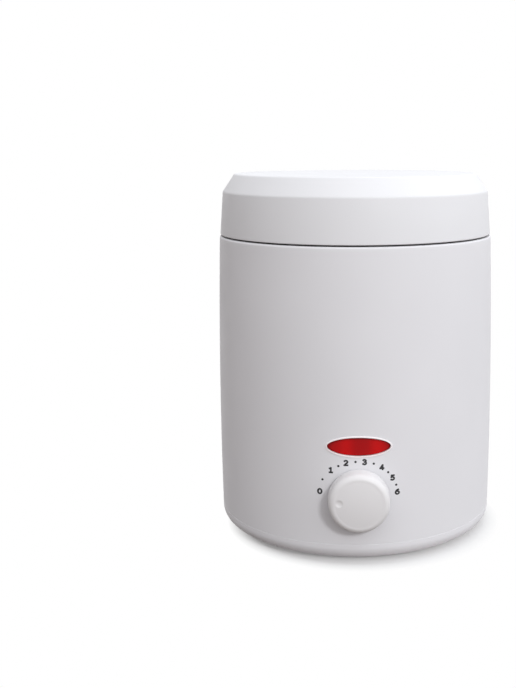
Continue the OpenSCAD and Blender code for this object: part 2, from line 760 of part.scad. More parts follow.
// Two screws that hold the bracket to the front wall's bosses
module bracket_screws() {
  color("silver") facing_front(knob_z) for (x = [-bracket_screw_x, bracket_screw_x])
    translate([x, 0, bracket_back_y]) screw(bracket_t + 4.5);
}

// Threaded bushing in which the spindle turns
module spindle_bushing() {
  color("goldenrod") facing_front(knob_z) difference() {
    union() {
      translate([0, 0, bushing_back_y]) cylinder(d = bushing_d, h = bushing_front_y - bushing_back_y);
      translate([0, 0, bracket_back_y - bushing_flange_t]) cylinder(d = bushing_d + 4, h = bushing_flange_t);
    }
    translate([0, 0, bushing_back_y - over])
      cylinder(d = spindle_d + 2 * spindle_gap, h = bushing_front_y - bushing_back_y + 2 * over);
  }
}

// Thin nut that holds the bushing to the bracket
module bushing_nut() {
  color("silver") facing_front(knob_z) translate([0, 0, bracket_y])
    hex_nut(bushing_d + 3, bushing_d / 2 + fit_gap, 2.2);
}

// Removes all but the D of a shaft or bore: the part that lies below the flat
module d_limit(flat, length) translate([-20, -20, 0]) cube([40, 20 + flat, length]);

// Steel spindle with a D on its outer end and a groove for its circlip
module spindle() {
  d_start = knob_wall_y - hub_reach;
  d_end = knob_wall_y + knob_proj - knob_crown - knob_wall - 0.3;
  color("silver") facing_front(knob_z) difference() {
    union() {
      translate([0, 0, spindle_end_y]) cylinder(d = spindle_d, h = d_start - spindle_end_y);
      translate([0, 0, d_start]) intersection() {
        cylinder(d = spindle_d, h = d_end - d_start);
        d_limit(spindle_flat, d_end - d_start);
      }
    }
    ring_plate(circlip_y, circlip_t + 2 * fit_gap, spindle_d, spindle_d / 2 - 0.4);
  }
}

// Snap ring that keeps the spindle in its bushing
module spindle_circlip() {
  color("dimgray") facing_front(knob_z) translate([0, 0, circlip_y + fit_gap]) difference() {
    cylinder(d = spindle_d + 2.4, h = circlip_t);
    translate([0, 0, -over]) cylinder(r = spindle_d / 2 - 0.35, h = circlip_t + 2 * over);
    translate([-1.6, 0, -over]) cube([3.2, spindle_d, circlip_t + 2 * over]);
  }
}

// Ceramic pin that the spindle pushes against the front leaf
module pressure_pin() {
  head_t = 1.2;
  color("ivory") facing_front(knob_z) {
    translate([0, 0, spindle_end_y - 0.1 - head_t]) cylinder(d = spindle_d - 0.2, h = head_t);
    translate([0, 0, front_leaf_y + 0.9])
      cylinder(d = 2.5, h = spindle_end_y - 0.1 - head_t - front_leaf_y - 0.9 + fit_gap);
  }
}

// Ceramic rings that space the leaves, from the bracket to the end washer
module stack_ceramics() {
  color("ivory") facing_front(stack_z) {
    ring_plate(front_leaf_y, bracket_back_y - front_leaf_y, ceramic_d / 2, stack_bore_d / 2);
    ring_plate(rear_leaf_y, ceramic_t, ceramic_d / 2, stack_bore_d / 2);
    ring_plate(bimetal_y, ceramic_t, ceramic_d / 2, stack_bore_d / 2);
    ring_plate(stack_end_y - 1, 1, ceramic_d / 2, stack_bore_d / 2);
  }
}

// Rivet that clamps the stack to the bracket
module stack_rivet() {
  color("silver") facing_front(stack_z) {
    translate([0, 0, stack_end_y - 1 - 0.8]) cylinder(d = stack_bore_d + 2, h = 0.8);
    translate([0, 0, stack_end_y - 1.4])
      cylinder(d = stack_bore_d - 2 * fit_gap, h = bracket_y + 0.4 - stack_end_y + 1.4);
    translate([0, 0, bracket_y]) cylinder(d = stack_bore_d + 2, h = 0.8);
  }
}

// Contact leaf whose near face is at distance y, with its tab to the left or the right
module leaf(y, side) {
  color("goldenrod") difference() {
    translate([0, -y + leaf_t, 0]) rotate([90, 0, 0]) linear_extrude(leaf_t) union() {
      translate([-leaf_w / 2, stack_z - 5]) square([leaf_w, leaf_top_z - stack_z + 5]);
      translate([side > 0 ? 0 : -tab_x, stack_z - tab_w / 2]) square([tab_x, tab_w]);
    }
    facing_front(stack_z) translate([0, 0, y - leaf_t - over])
      cylinder(d = stack_bore_d, h = leaf_t + 2 * over);
  }
}

// Leaf that the pressure pin works on
module front_leaf() leaf(front_leaf_y, -1);

// Leaf that the bimetal works on
module rear_leaf() leaf(rear_leaf_y, 1);

// The two silver contacts, open in the off position
module contact_points() {
  color("gainsboro") facing_front(contact_z) {
    translate([0, 0, front_leaf_y - leaf_t - contact_t]) cylinder(d = 3.2, h = contact_t);
    translate([0, 0, rear_leaf_y]) cylinder(d = 3.2, h = contact_t);
  }
}

// Bimetal strip that bends as it warms
module bimetal_blade() {
  color("darkkhaki") difference() {
    translate([0, -bimetal_y + bimetal_t, 0]) rotate([90, 0, 0]) linear_extrude(bimetal_t)
      translate([-leaf_w / 2 - 1, stack_z - 4.6]) square([leaf_w + 2, leaf_top_z - stack_z + 5]);
    facing_front(stack_z) translate([0, 0, stack_end_y - over])
      cylinder(d = stack_bore_d, h = bimetal_t + 2 * over);
  }
}

// Ceramic bead between the bimetal and the rear leaf
module bimetal_button() {
  color("ivory") facing_front(leaf_top_z - 1.6) translate([0, 0, bimetal_y]) cylinder(d = 2.4, h = ceramic_t);
}

// Moulded knob: a hollow skirt with a hub that reaches through the wall
module knob() {
  back_y = knob_wall_y + knob_gap;
  front_y = knob_wall_y + knob_proj;
  edge_y = front_y - knob_crown;
  front_r = knob_front_d / 2;
  ceiling_y = edge_y - knob_wall;
  dimple_depth = 0.5;
  dimple_r = (pow(dimple_d / 2, 2) + pow(dimple_depth, 2)) / (2 * dimple_depth);
  dimple_reach = front_r - 3.2;
  dimple_face_y = edge_y + knob_crown * (1 - pow(dimple_reach / (front_r - knob_round), 2));
  hub_in_r = spindle_d / 2 - 1.6;
  face_r = front_r - knob_round;
  face = [for (i = [1:5]) let (r = face_r * (1 - i / 5)) [r, edge_y + knob_crown * (1 - pow(r / face_r, 2))]];
  color("white") facing_front(knob_z) difference() {
    rotate_extrude() polygon(concat(
      [[hub_in_r, knob_wall_y - hub_reach], [knob_hub_d / 2, knob_wall_y - hub_reach]],
      [[knob_hub_d / 2, ceiling_y], [front_r - knob_wall - 0.4, ceiling_y]],
      [[knob_back_d / 2 - knob_wall, back_y], [knob_back_d / 2, back_y]],
      arc([face_r, edge_y - knob_round], knob_round, knob_round, 0, 90, 5),
      face,
      [[0, ceiling_y], [hub_in_r, ceiling_y]]));
    translate([0, 0, knob_wall_y - hub_reach - over]) intersection() {
      cylinder(d = spindle_d + 2 * fit_gap, h = ceiling_y - knob_wall_y + hub_reach + over);
      d_limit(spindle_flat + fit_gap, ceiling_y - knob_wall_y + hub_reach + over);
    }
    rotate([0, 0, pointer_angle]) translate([dimple_reach, 0, dimple_face_y + dimple_r - dimple_depth])
      sphere(r = dimple_r);
  }
}

// Spring ring that squeezes the hub onto the spindle
module knob_clip() {
  clip_y = knob_wall_y + 1.6;
  color("dimgray") facing_front(knob_z) translate([0, 0, clip_y]) rotate([0, 0, 110])
    rotate_extrude(angle = 320) translate([knob_hub_d / 2 + fit_gap, 0]) square([0.6, 2.4]);
}

// Ring sector block limited to an oval, seen from the front
module oval_ring(w, h, r_in, r_out) {
  intersection() {
    facing_front(lens_z) translate([0, 0, r_in - 8]) oval_prism(w, h, r_out - r_in + 12);
    translate([0, 0, lens_z - h]) difference() {
      cylinder(r = r_out, h = 2 * h);
      translate([0, 0, -over]) cylinder(r = r_in, h = 2 * h + 2 * over);
    }
  }
}

// Red lens: a plug in the window and a flange behind the wall
module indicator_lens() {
  flange_r = inner_y(lens_z, 0) - 0.12;
  color("crimson") union() {
    oval_ring(lens_w - 2 * fit_gap, lens_h - 2 * fit_gap, lens_back_r, lens_r);
    oval_ring(lens_w + 2 * lens_flange, lens_h + 2 * lens_flange, lens_back_r, flange_r);
  }
}

// Trough behind the lens that carries the bulb, with an ear at each end
module lamp_holder() {
  low = lens_z - holder_h / 2;
  half = lamp_screw_x - boss_d / 2 - 0.2;
  back_y = bulb_y - bulb_d / 2 - 1.6;
  color("ivory") difference() {
    union() {
      intersection() {
        translate([-half, -lens_back_r, low]) cube([2 * half, lens_back_r - back_y, holder_h]);
        cylinder_from(low - over, low + holder_h + over, 2 * (lens_back_r - fit_gap));
      }
      translate([-lamp_screw_x - 3, -lamp_boss_y, lens_z - 3]) cube([2 * lamp_screw_x + 6, lamp_ear_t, 6]);
    }
    translate([-bulb_l / 2 - 0.6, -lens_back_r - over, lens_z - bulb_d / 2 - 0.3])
      cube([bulb_l + 1.2, lens_back_r + over - bulb_y + bulb_d / 2 + 0.3, bulb_d + 0.6]);
    facing_front(lens_z) for (x = [-lamp_screw_x, lamp_screw_x])
      translate([x, 0, lamp_boss_y - lamp_ear_t - over])
        cylinder(d = screw_hole_d, h = lamp_ear_t + 2 * over);
    for (x = [-lamp_lead_x, lamp_lead_x]) translate([x, -bulb_y, low - over])
      cylinder(r = thin_lead_r + 0.3, h = holder_h);
  }
}

// Two screws that hold the lamp holder
module lamp_screws() {
  color("silver") facing_front(lens_z) for (x = [-lamp_screw_x, lamp_screw_x])
    translate([x, 0, lamp_boss_y - lamp_ear_t]) screw(lamp_ear_t + 2.6);
}

// Glass of the neon lamp, lying across the body behind the lens
module neon_bulb() {
  r = bulb_d / 2;
  color("orange") translate([0, -bulb_y, lens_z]) rotate([0, 90, 0]) difference() {
    union() {
      translate([0, 0, -bulb_l / 2]) cylinder(r = r, h = bulb_l - r);
      translate([0, 0, bulb_l / 2 - r]) sphere(r = r);
    }
    translate([0, 0, 0.8 - bulb_l / 2]) cylinder(r = r - 0.6, h = bulb_l - r - 0.8);
  }
}

// The two electrodes inside the glass
module lamp_electrodes() {
  color("silver") for (z = [-0.8, 0.8]) translate([-bulb_l / 2 + 0.8, -bulb_y, lens_z + z])
    rotate([0, 90, 0]) cylinder(r = 0.35, h = bulb_l - bulb_d / 2 - 1.4);
}

// Gland in the rear wall, with the hole for the cord: a little wider in the sleeve than in the nose
module cord_gland() {
  nose_y = pad_out_y + gland_proj;
  inner_y0 = pad_in_y - gland_nut_t - 1;
  color("dimgray") translate([0, 0, inlet_z]) rotate([-90, 0, 0]) difference() {
    union() {
      translate([0, 0, inner_y0]) cylinder(d = gland_thread_d, h = pad_out_y - inner_y0 + over);
      translate([0, 0, pad_out_y]) cylinder(d = gland_d, h = gland_flange_t);
      translate([0, 0, pad_out_y + gland_flange_t])
        cylinder(d1 = gland_d - 1.4, d2 = inlet_d + 2.4, h = gland_proj - gland_flange_t);
    }
    translate([0, 0, inner_y0 - over]) cylinder(d = inlet_d + 0.8, h = nose_y - gland_grip_l - inner_y0 + over);
    translate([0, 0, inner_y0 - over]) cylinder(d = inlet_d, h = nose_y - inner_y0 + 2 * over);
  }
}

// Nut that holds the gland from inside
module gland_nut() {
  color("dimgray") translate([0, pad_in_y - gland_nut_t, inlet_z]) rotate([-90, 30, 0])
    hex_nut(gland_thread_d + 2.6, gland_thread_d / 2 + fit_gap, gland_nut_t);
}

// Bridge over the cord's place, on two posts of the pan
module cord_clamp() {
  w = 6;
  low = pan_floor_z + clamp_post_h;
  color("white") difference() {
    translate([-clamp_post_x - 4, clamp_y - w / 2, low]) cube([2 * clamp_post_x + 8, w, inlet_d + bridge_t]);
    translate([0, clamp_y - w, inlet_z]) rotate([-90, 0, 0]) cylinder(d = inlet_d, h = 2 * w);
    translate([-inlet_d / 2, clamp_y - w, low - over]) cube([inlet_d, 2 * w, inlet_z - low + over]);
    for (x = [-clamp_post_x, clamp_post_x]) translate([x, clamp_y, 0])
      cylinder_from(low - over, low + 20, screw_hole_d);
  }
}

// Two screws that hold the clamp, with their heads on top
module clamp_screws() {
  top = pan_floor_z + clamp_post_h + inlet_d + bridge_t;
  color("silver") for (x = [-clamp_post_x, clamp_post_x]) translate([x, clamp_y, top])
    mirror([0, 0, 1]) screw(inlet_d + bridge_t + 6);
}

// Three-pole block that joins the mains cores to the internal leads
module terminal_block() {
  color("ivory") difference() {
    translate([-block_size[0] / 2, block_y - block_size[1] / 2, pan_floor_z]) cube(block_size);
    for (i = [-1:1]) translate([i * pole_pitch, 0, barrel_z]) rotate([-90, 0, 0])
      translate([0, 0, block_y - block_size[1]]) cylinder(d = barrel_d + 2 * fit_gap, h = 2 * block_size[1]);
    for (i = [-1:1], y = [-4, 4]) translate([i * pole_pitch, block_y + y, 0])
      cylinder_from(barrel_z, pan_floor_z + block_size[2] + over, 3.2);
    for (x = [-pole_pitch / 2, pole_pitch / 2]) translate([x, block_y, pan_floor_z + block_size[2]])
      cube([1, block_size[1] + 2 * over, 5], center = true);
    translate([0, block_y, 0]) cylinder_from(pan_floor_z - over, pan_floor_z + 2.4, pilot_d);
  }
}

// Brass barrels that grip the cores
module terminal_barrels() {
  l = block_size[1] - 1;
  color("goldenrod") for (i = [-1:1]) translate([i * pole_pitch, block_y - l / 2, barrel_z])
    difference() {
      rotate([-90, 0, 0]) cylinder(d = barrel_d, h = l);
      translate([0, -over, 0]) rotate([-90, 0, 0]) cylinder(d = 2 * lead_r + 0.3, h = l + 2 * over);
      for (y = [-4, 4]) translate([0, l / 2 + y, 0]) cylinder(d = 2.6, h = barrel_d);
    }
}

// Grub screws above the barrels
module terminal_screws() {
  color("silver") for (i = [-1:1], y = [-4, 4]) translate([i * pole_pitch, block_y + y, 0])
    cylinder_from(barrel_z + lead_r + 0.3, pan_floor_z + block_size[2] - 1.6, 2.5);
}

// Short screw that holds the block from below
module block_screw() {
  color("silver") translate([0, block_y, foot_gap + block_pocket_h]) {
    cylinder_from(-0.9, 0, screw_head_d);
    cylinder_from(-0.5, pan_t - block_pocket_h + 2.2, screw_core_d);
  }
}

// Brown lead from the block to the front leaf's tab
module live_lead() {
  color("saddlebrown") wire([
    [-pole_pitch, pole_y, barrel_z], [-pole_pitch, pole_y - 9, barrel_z],
    [-lead_side_x, pole_y - 19, barrel_z], [-lead_side_x, tab_y_front + lead_turn, stack_z],
    [-tab_x - 2, tab_y_front, stack_z],
    [-tab_x + 3, tab_y_front, stack_z]], lead_r);
}

// Brown lead from the rear leaf's tab up to the thermal cut-out
module switched_lead() {
  color("saddlebrown") wire([
    [tab_x - 3, tab_y_rear, stack_z], [tab_x + 2, tab_y_rear, stack_z],
    [lead_side_x, tab_y_rear + 12, stack_z], [lead_side_x, pole_y - 7, knob_z - 2.6],
    [lead_hole_x + 1.4, lead_hole_y - 2.6, shield_z - 6.9],
    [lead_hole_x + 1.2, lead_hole_y - 2.6, shield_z + 1.8],
    [fuse_l / 2 + 4.4, fuse_y + 0.6, fuse_z - 0.8]], lead_r);
}

// Short jumper from the cut-out to the ring's left terminal
module element_lead() {
  color("saddlebrown") wire([
    [-fuse_l / 2 - 4.3, fuse_y + 0.4, fuse_z - 0.4],
    [0.4 - lead_hole_x, lead_hole_y - 0.6, ring_foot_z - lead_r - 0.3]], lead_r);
}

// Blue lead from the block to the ring's right terminal
module neutral_lead() {
  color("steelblue") wire([
    [pole_pitch, pole_y, barrel_z], [pole_pitch, pole_y - 7, barrel_z],
    [pole_pitch + 6, pole_y - 7, barrel_z + 11],
    [lead_hole_x, lead_hole_y + 2.6, shield_z - 7.9], [lead_hole_x, lead_hole_y + 2.6, shield_z + 1],
    [lead_hole_x, lead_hole_y + 0.6, ring_foot_z - 1.8]], lead_r);
}

// Earth lead from the block to a tag on the stud's lower nut
module earth_lead() {
  tag_z = strap_z - nut_h;
  tag_t = 0.8;
  color("yellowgreen") union() {
    wire([
      [0, pole_y, barrel_z], [0, pole_y - 9, barrel_z], [0, pole_y - 12, barrel_z + 9],
      [0, stud_d / 2 + 3.4, tag_z - 0.45]], lead_r);
    translate([0, 0, tag_z - tag_t - fit_gap]) difference() {
      union() {
        cylinder(d = stud_d + 6, h = tag_t);
        translate([-1.5, 0, 0]) cube([3, stud_d / 2 + 4, tag_t]);
      }
      translate([0, 0, -over]) cylinder(d = stud_d + 2 * fit_gap, h = 3);
    }
  }
}

// Route of a thin lamp lead from the holder to a ring terminal, on the side x = 1 or -1
function lamp_route(x) = [
  [x * lamp_lead_x, -bulb_y, lens_z - 3], [x * lamp_lead_x, -bulb_y, lens_z - holder_h / 2 - 1],
  [x * lamp_run_x, -34, lamp_run_z], [x * lamp_run_x, 10, lamp_run_z],
  [x * (lead_hole_x + 3.3), lead_hole_y + 0.4, shield_z - 2],
  [x * (lead_hole_x + 3.3), lead_hole_y + 0.4, shield_z + 1],
  [x * (lead_hole_x + 2), lead_hole_y, ring_foot_z - 1]];

// Two thin leads from the lamp to the ring's terminals, the left one cut for the resistor
module lamp_leads() {
  left = lamp_route(-1);
  color("firebrick") {
    wire(lamp_route(1), thin_lead_r);
    wire([left[0], left[1], left[2], [-lamp_run_x, resistor_y - fit_gap, lamp_run_z]], thin_lead_r);
    wire([[-lamp_run_x, resistor_y + resistor_l + fit_gap, lamp_run_z], left[3], left[4], left[5], left[6]],
      thin_lead_r);
  }
}

// Series resistor of the lamp, in its sleeve
module lamp_resistor() {
  color("tan") translate([-lamp_run_x, resistor_y, lamp_run_z]) rotate([-90, 0, 0])
    cylinder(r = 1.7, h = resistor_l);
}

lid();
body_shell();
base_pan();
feet();
base_screws();
cup_gasket();
heater_cup();
wax_pot();
pot_ears();
ear_rivets();
bail_handle();
mica_sheet();
heating_ring();
clamp_plate();
centre_stud();
stud_nuts();
stud_spacer();
heat_shield();
cup_strap();
strap_screws();
thermal_fuse();
fuse_clip();
thermostat_bracket();
bracket_screws();
spindle_bushing();
bushing_nut();
spindle();
spindle_circlip();
pressure_pin();
stack_ceramics();
stack_rivet();
front_leaf();
rear_leaf();
contact_points();
bimetal_blade();
bimetal_button();
knob();
knob_clip();
indicator_lens();
lamp_holder();
lamp_screws();
neon_bulb();
lamp_electrodes();
cord_gland();
gland_nut();
cord_clamp();
clamp_screws();
terminal_block();
terminal_barrels();
terminal_screws();
block_screw();
live_lead();
switched_lead();
element_lead();
neutral_lead();
earth_lead();
lamp_leads();
lamp_resistor();
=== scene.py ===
import json
import math

import bmesh
import bpy
import numpy as np
from mathutils import Matrix

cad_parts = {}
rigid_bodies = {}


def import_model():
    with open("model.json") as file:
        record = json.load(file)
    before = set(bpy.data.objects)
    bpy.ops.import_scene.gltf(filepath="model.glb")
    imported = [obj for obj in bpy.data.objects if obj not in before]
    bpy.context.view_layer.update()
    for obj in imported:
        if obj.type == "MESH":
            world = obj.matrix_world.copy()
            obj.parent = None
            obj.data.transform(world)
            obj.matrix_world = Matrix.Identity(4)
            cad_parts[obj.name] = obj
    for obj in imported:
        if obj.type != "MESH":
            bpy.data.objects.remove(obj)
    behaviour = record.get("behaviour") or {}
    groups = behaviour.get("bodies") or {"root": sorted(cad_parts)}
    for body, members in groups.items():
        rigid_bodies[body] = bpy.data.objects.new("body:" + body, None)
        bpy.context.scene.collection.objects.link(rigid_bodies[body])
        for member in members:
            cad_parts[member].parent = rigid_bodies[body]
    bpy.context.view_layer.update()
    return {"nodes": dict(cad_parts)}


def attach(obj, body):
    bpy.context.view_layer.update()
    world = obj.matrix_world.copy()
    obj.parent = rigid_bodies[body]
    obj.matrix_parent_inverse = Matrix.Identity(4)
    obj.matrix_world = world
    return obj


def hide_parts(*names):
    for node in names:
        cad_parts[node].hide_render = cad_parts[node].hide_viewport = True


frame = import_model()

# The camera stands about 0.37 m in front of the warmer, a little above its lid and to the left, and looks
# slightly down. The shift puts the warmer to the right of the middle, as in the photograph.
camera = bpy.data.objects.new("camera", bpy.data.cameras.new("camera"))
bpy.context.scene.collection.objects.link(camera)
bpy.context.scene.camera = camera
camera.data.lens = 51.37
camera.data.shift_x = -0.1333
camera.data.shift_y = 0.0575
camera.data.clip_start = 0.01
camera.matrix_world = (
    Matrix.Translation((-0.00896, -0.37187, 0.14383))
    @ Matrix.Rotation(math.radians(-1.05), 4, "Z")
    @ Matrix.Rotation(math.radians(76.24), 4, "X")
    @ Matrix.Rotation(math.radians(-0.11), 4, "Z")
)

# The base pan closes the body from below. It is one moulding of white ABS with a wide round corner, a lip
# that locates it in the body, posts for the screws, recesses for the feet, and a ring of holes that let air
# in under the heater.
mouth_z, joint_z, corner_z = 110.8, 7.5, 6.2
mouth_d, base_d, swell = 100.9, 104.6, 2.6


def wall_radius(z):
    """Outer radius of the warmer at height z: a straight taper from the pan's corner to the body's mouth
    plus a shallow parabola. With t from 0 at the mouth to 1 at the corner, it is half of mouth_d + (base_d
    - mouth_d) t, plus swell t (1 - t)."""
    t = (mouth_z - z) / (mouth_z - corner_z)
    return (mouth_d + (base_d - mouth_d) * t) / 2 + swell * t * (1 - t)


def rounded(*corners, steps=8):
    """Outline through corners (r, z, radius). A corner with a radius becomes an arc tangent to both its
    sides: the arm from the arc's centre turns from one tangent point to the other at a steady rate."""
    line, last = [], len(corners) - 1
    for k, (r, z, radius) in enumerate(corners):
        here = np.array([r, z], float)
        if radius == 0 or k in (0, last):
            line.append(here[None])
            continue
        before = np.array(corners[k - 1][:2]) - here
        after = np.array(corners[k + 1][:2]) - here
        u, v = before / np.hypot(*before), after / np.hypot(*after)
        half = math.acos(np.clip(u @ v, -1, 1)) / 2
        centre = here + (u + v) / np.hypot(*(u + v)) * radius / math.sin(half)
        arms = np.stack([here + u * radius / math.tan(half), here + v * radius / math.tan(half)]) - centre
        sweep, t = math.pi - 2 * half, np.linspace(0, 1, steps + 1)
        shares = np.stack([np.sin((1 - t) * sweep), np.sin(t * sweep)], 1) / math.sin(sweep)
        line.append(centre + shares @ arms)
    return np.concatenate(line)


def revolve(outline, around=288):
    """Surface of revolution about +Z: outline point (r, z) at angle a is (r cos a, r sin a, z)."""
    r, z = np.asarray(outline, float).T
    a = np.arange(around) * 2 * np.pi / around
    return np.stack([np.outer(r, np.cos(a)), np.outer(r, np.sin(a)), np.outer(z, np.ones(around))], -1)


def upright(x, y, low, high, r, around=64):
    """Closed upright cylinder of radius r between two heights."""
    return revolve([(0, low), (r, low), (r, high), (0, high)], around) + np.array([x, y, 0])


def brick(low, high):
    """Closed box between two opposite corners: its four upright edges, drawn to the middle at both ends."""
    (x0, y0, z0), (x1, y1, z1) = low, high
    edges = np.array([[x0, y0], [x1, y0], [x1, y1], [x0, y1]], float)
    middle = np.tile(edges.mean(0), (4, 1))
    rows = (middle, z0), (edges, z0), (edges, z1), (middle, z1)
    return np.stack([np.column_stack([row, np.full(4, z)]) for row, z in rows])


def circle(r, *degrees):
    """Places (x, y) on a circle about the centre line."""
    return [(r * math.cos(a), r * math.sin(a)) for a in np.radians(degrees)]


def clean(mesh, crease=32):
    """Merges doubles, drops empty faces, turns faces outwards, and keeps edges sharper than crease
    degrees."""
    work = bmesh.new()
    work.from_mesh(mesh)
    bmesh.ops.remove_doubles(work, verts=work.verts, dist=1e-7)
    bmesh.ops.dissolve_degenerate(work, edges=work.edges, dist=1e-8)
    bmesh.ops.recalc_face_normals(work, faces=work.faces)
    work.to_mesh(mesh)
    work.free()
    mesh.shade_smooth()
    mesh.set_sharp_from_angle(angle=math.radians(crease))


def surface(name, *grids, closed=False, crease=32):
    """Mesh object at the origin from grids of points in millimetres. Every cell is a four-cornered face.
    Columns run round, and so do rows where the outline is closed."""
    points, faces, start = [], [], 0
    for grid in grids:
        rows, columns = grid.shape[:2]
        i, j = np.meshgrid(np.arange(rows if closed else rows - 1), np.arange(columns), indexing="ij")
        here, next_row, next_column = i * columns, (i + 1) % rows * columns, (j + 1) % columns
        cells = np.stack([here + j, here + next_column, next_row + next_column, next_row + j], -1)
        points.append(grid.reshape(-1, 3) * 0.001)
        faces.append(cells.reshape(-1, 4) + start)
        start += rows * columns
    mesh = bpy.data.meshes.new(name)
    mesh.from_pydata(np.concatenate(points).tolist(), [], np.concatenate(faces).tolist())
    clean(mesh, crease)
    piece = bpy.data.objects.new(name, mesh)
    bpy.context.scene.collection.objects.link(piece)
    return piece


def combine(piece, kind, *grids):
    """Joins closed solids to a piece (UNION) or cuts them away (DIFFERENCE)."""
    tools = bpy.data.collections.new("tools")
    bpy.context.scene.collection.children.link(tools)
    for grid in grids:
        tool = surface("tool", grid)
        bpy.context.scene.collection.objects.unlink(tool)
        tools.objects.link(tool)
    step = piece.modifiers.new(kind, "BOOLEAN")
    step.operation, step.solver, step.operand_type, step.collection = kind, "EXACT", "COLLECTION", tools
    made = bpy.data.meshes.new_from_object(piece.evaluated_get(bpy.context.evaluated_depsgraph_get()))
    piece.modifiers.clear()
    piece.data = made
    for tool in list(tools.objects):
        bpy.data.objects.remove(tool)
    bpy.data.collections.remove(tools)
    clean(made)


corner_w, corner_h, pan_t = 6, 5, 2.2
pan_z = corner_z - corner_h
pan_top = pan_z + pan_t
lip_top = 10.5
lip_r = wall_radius(lip_top) - 2.5
post_r, boss_r = 3.9, 3.4
pocket_r, shank_r, pilot_r = 3, 1.7, 1.25
foot_r, foot_h, vent_r = 6, 2.2, 2
screw_places = circle(42, 45, 135, 225, 315)
foot_places = circle(37, 0, 90, 180, 270)
vent_places = circle(19, *range(15, 375, 30))
clamp_places = [(-9, 38), (9, 38)]
bend = np.radians(np.linspace(-90, 0, 25))
base_pan = surface("base_pan_moulding", revolve(np.concatenate([
    [[0, pan_z]],
    np.stack([wall_radius(corner_z) - corner_w * (1 - np.cos(bend)), corner_z + corner_h * np.sin(bend)], 1),
    rounded((wall_radius(corner_z), corner_z, 0), (wall_radius(joint_z - 0.1), joint_z - 0.1, 0.05),
            (wall_radius(joint_z) - 0.1, joint_z, 0.05), (lip_r, joint_z, 0.1), (lip_r, lip_top, 0.4),
            (lip_r - 1.7, lip_top, 0.4), (lip_r - 1.7, pan_top, 2), (0, pan_top, 0))[1:],
])))
combine(
    base_pan, "UNION",
    *[upright(x, y, 2.4, 5.8, post_r) for x, y in screw_places],
    *[upright(x, y, 2.4, 12.5, boss_r) for x, y in clamp_places])
combine(
    base_pan, "DIFFERENCE",
    *[upright(x, y, 0, 3.8, pocket_r) for x, y in screw_places],
    *[upright(x, y, 3, 7, shank_r) for x, y in screw_places],
    *[upright(x, y, 0, foot_h, foot_r + 0.05) for x, y in foot_places],
    *[upright(x, y, 0, 5, vent_r) for x, y in vent_places],
    *[upright(x, y, 4.5, 14, pilot_r) for x, y in clamp_places],
    upright(0, 24, 0, 2.4, pocket_r),
    upright(0, 24, 2, 5, shank_r),
    brick((-8.7, lip_r - 2.7, joint_z), (8.7, lip_r + 1, lip_top + 1)))


def group_of(name, inputs, outputs):
    """Empty shader node group with named inputs and outputs, and its two end nodes."""
    group = bpy.data.node_groups.new(name, "ShaderNodeTree")
    for label, kind in inputs.items():
        group.interface.new_socket(label, in_out="INPUT", socket_type=kind)
    for label in outputs:
        group.interface.new_socket(label, in_out="OUTPUT", socket_type="NodeSocketFloat")
    return group, group.nodes.new("NodeGroupInput"), group.nodes.new("NodeGroupOutput")


def add(tree, kind, inputs=None, **settings):
    """New node of a tree. Settings go to the attribute of that name, or else to the socket of that name.
    Inputs give a socket, by name or number, either the output that feeds it or its value."""
    made = tree.nodes.new(kind)
    for key, value in settings.items():
        if hasattr(made, key):
            setattr(made, key, value)
        else:
            made.inputs[key.replace("_", " ")].default_value = value
    for socket, source in (inputs or {}).items():
        if isinstance(source, bpy.types.NodeSocket):
            tree.links.new(source, made.inputs[socket])
        else:
            made.inputs[socket].default_value = source
    return made


def moulded_skin():
    """Group for moulded plastic, rubber and ceramic. Grain is fine noise over a wide gentle wave, for the
    height. Tone is slow noise for the colour, and Haze is middling noise for the roughness."""
    sockets = {"Vector": "NodeSocketVector", "Cells": "NodeSocketFloat"}
    group, start, end = group_of("moulded_skin", sockets, ["Grain", "Tone", "Haze"])
    at = {"Vector": start.outputs["Vector"]}
    cells = {**at, "Scale": start.outputs["Cells"]}
    fine = add(group, "ShaderNodeTexNoise", cells, Detail=2.0, Roughness=0.55)
    wide = add(group, "ShaderNodeTexNoise", at, Scale=60.0, Detail=1.0)
    height = {0: wide.outputs["Fac"], 1: 5.0, 2: fine.outputs["Fac"]}
    height = add(group, "ShaderNodeMath", height, operation="MULTIPLY_ADD")
    slow = add(group, "ShaderNodeTexNoise", at, Scale=20.0, Detail=2.0)
    haze = add(group, "ShaderNodeTexNoise", at, Scale=150.0, Detail=4.0)
    group.links.new(height.outputs[0], end.inputs["Grain"])
    group.links.new(slow.outputs["Fac"], end.inputs["Tone"])
    group.links.new(haze.outputs["Fac"], end.inputs["Haze"])
    return group


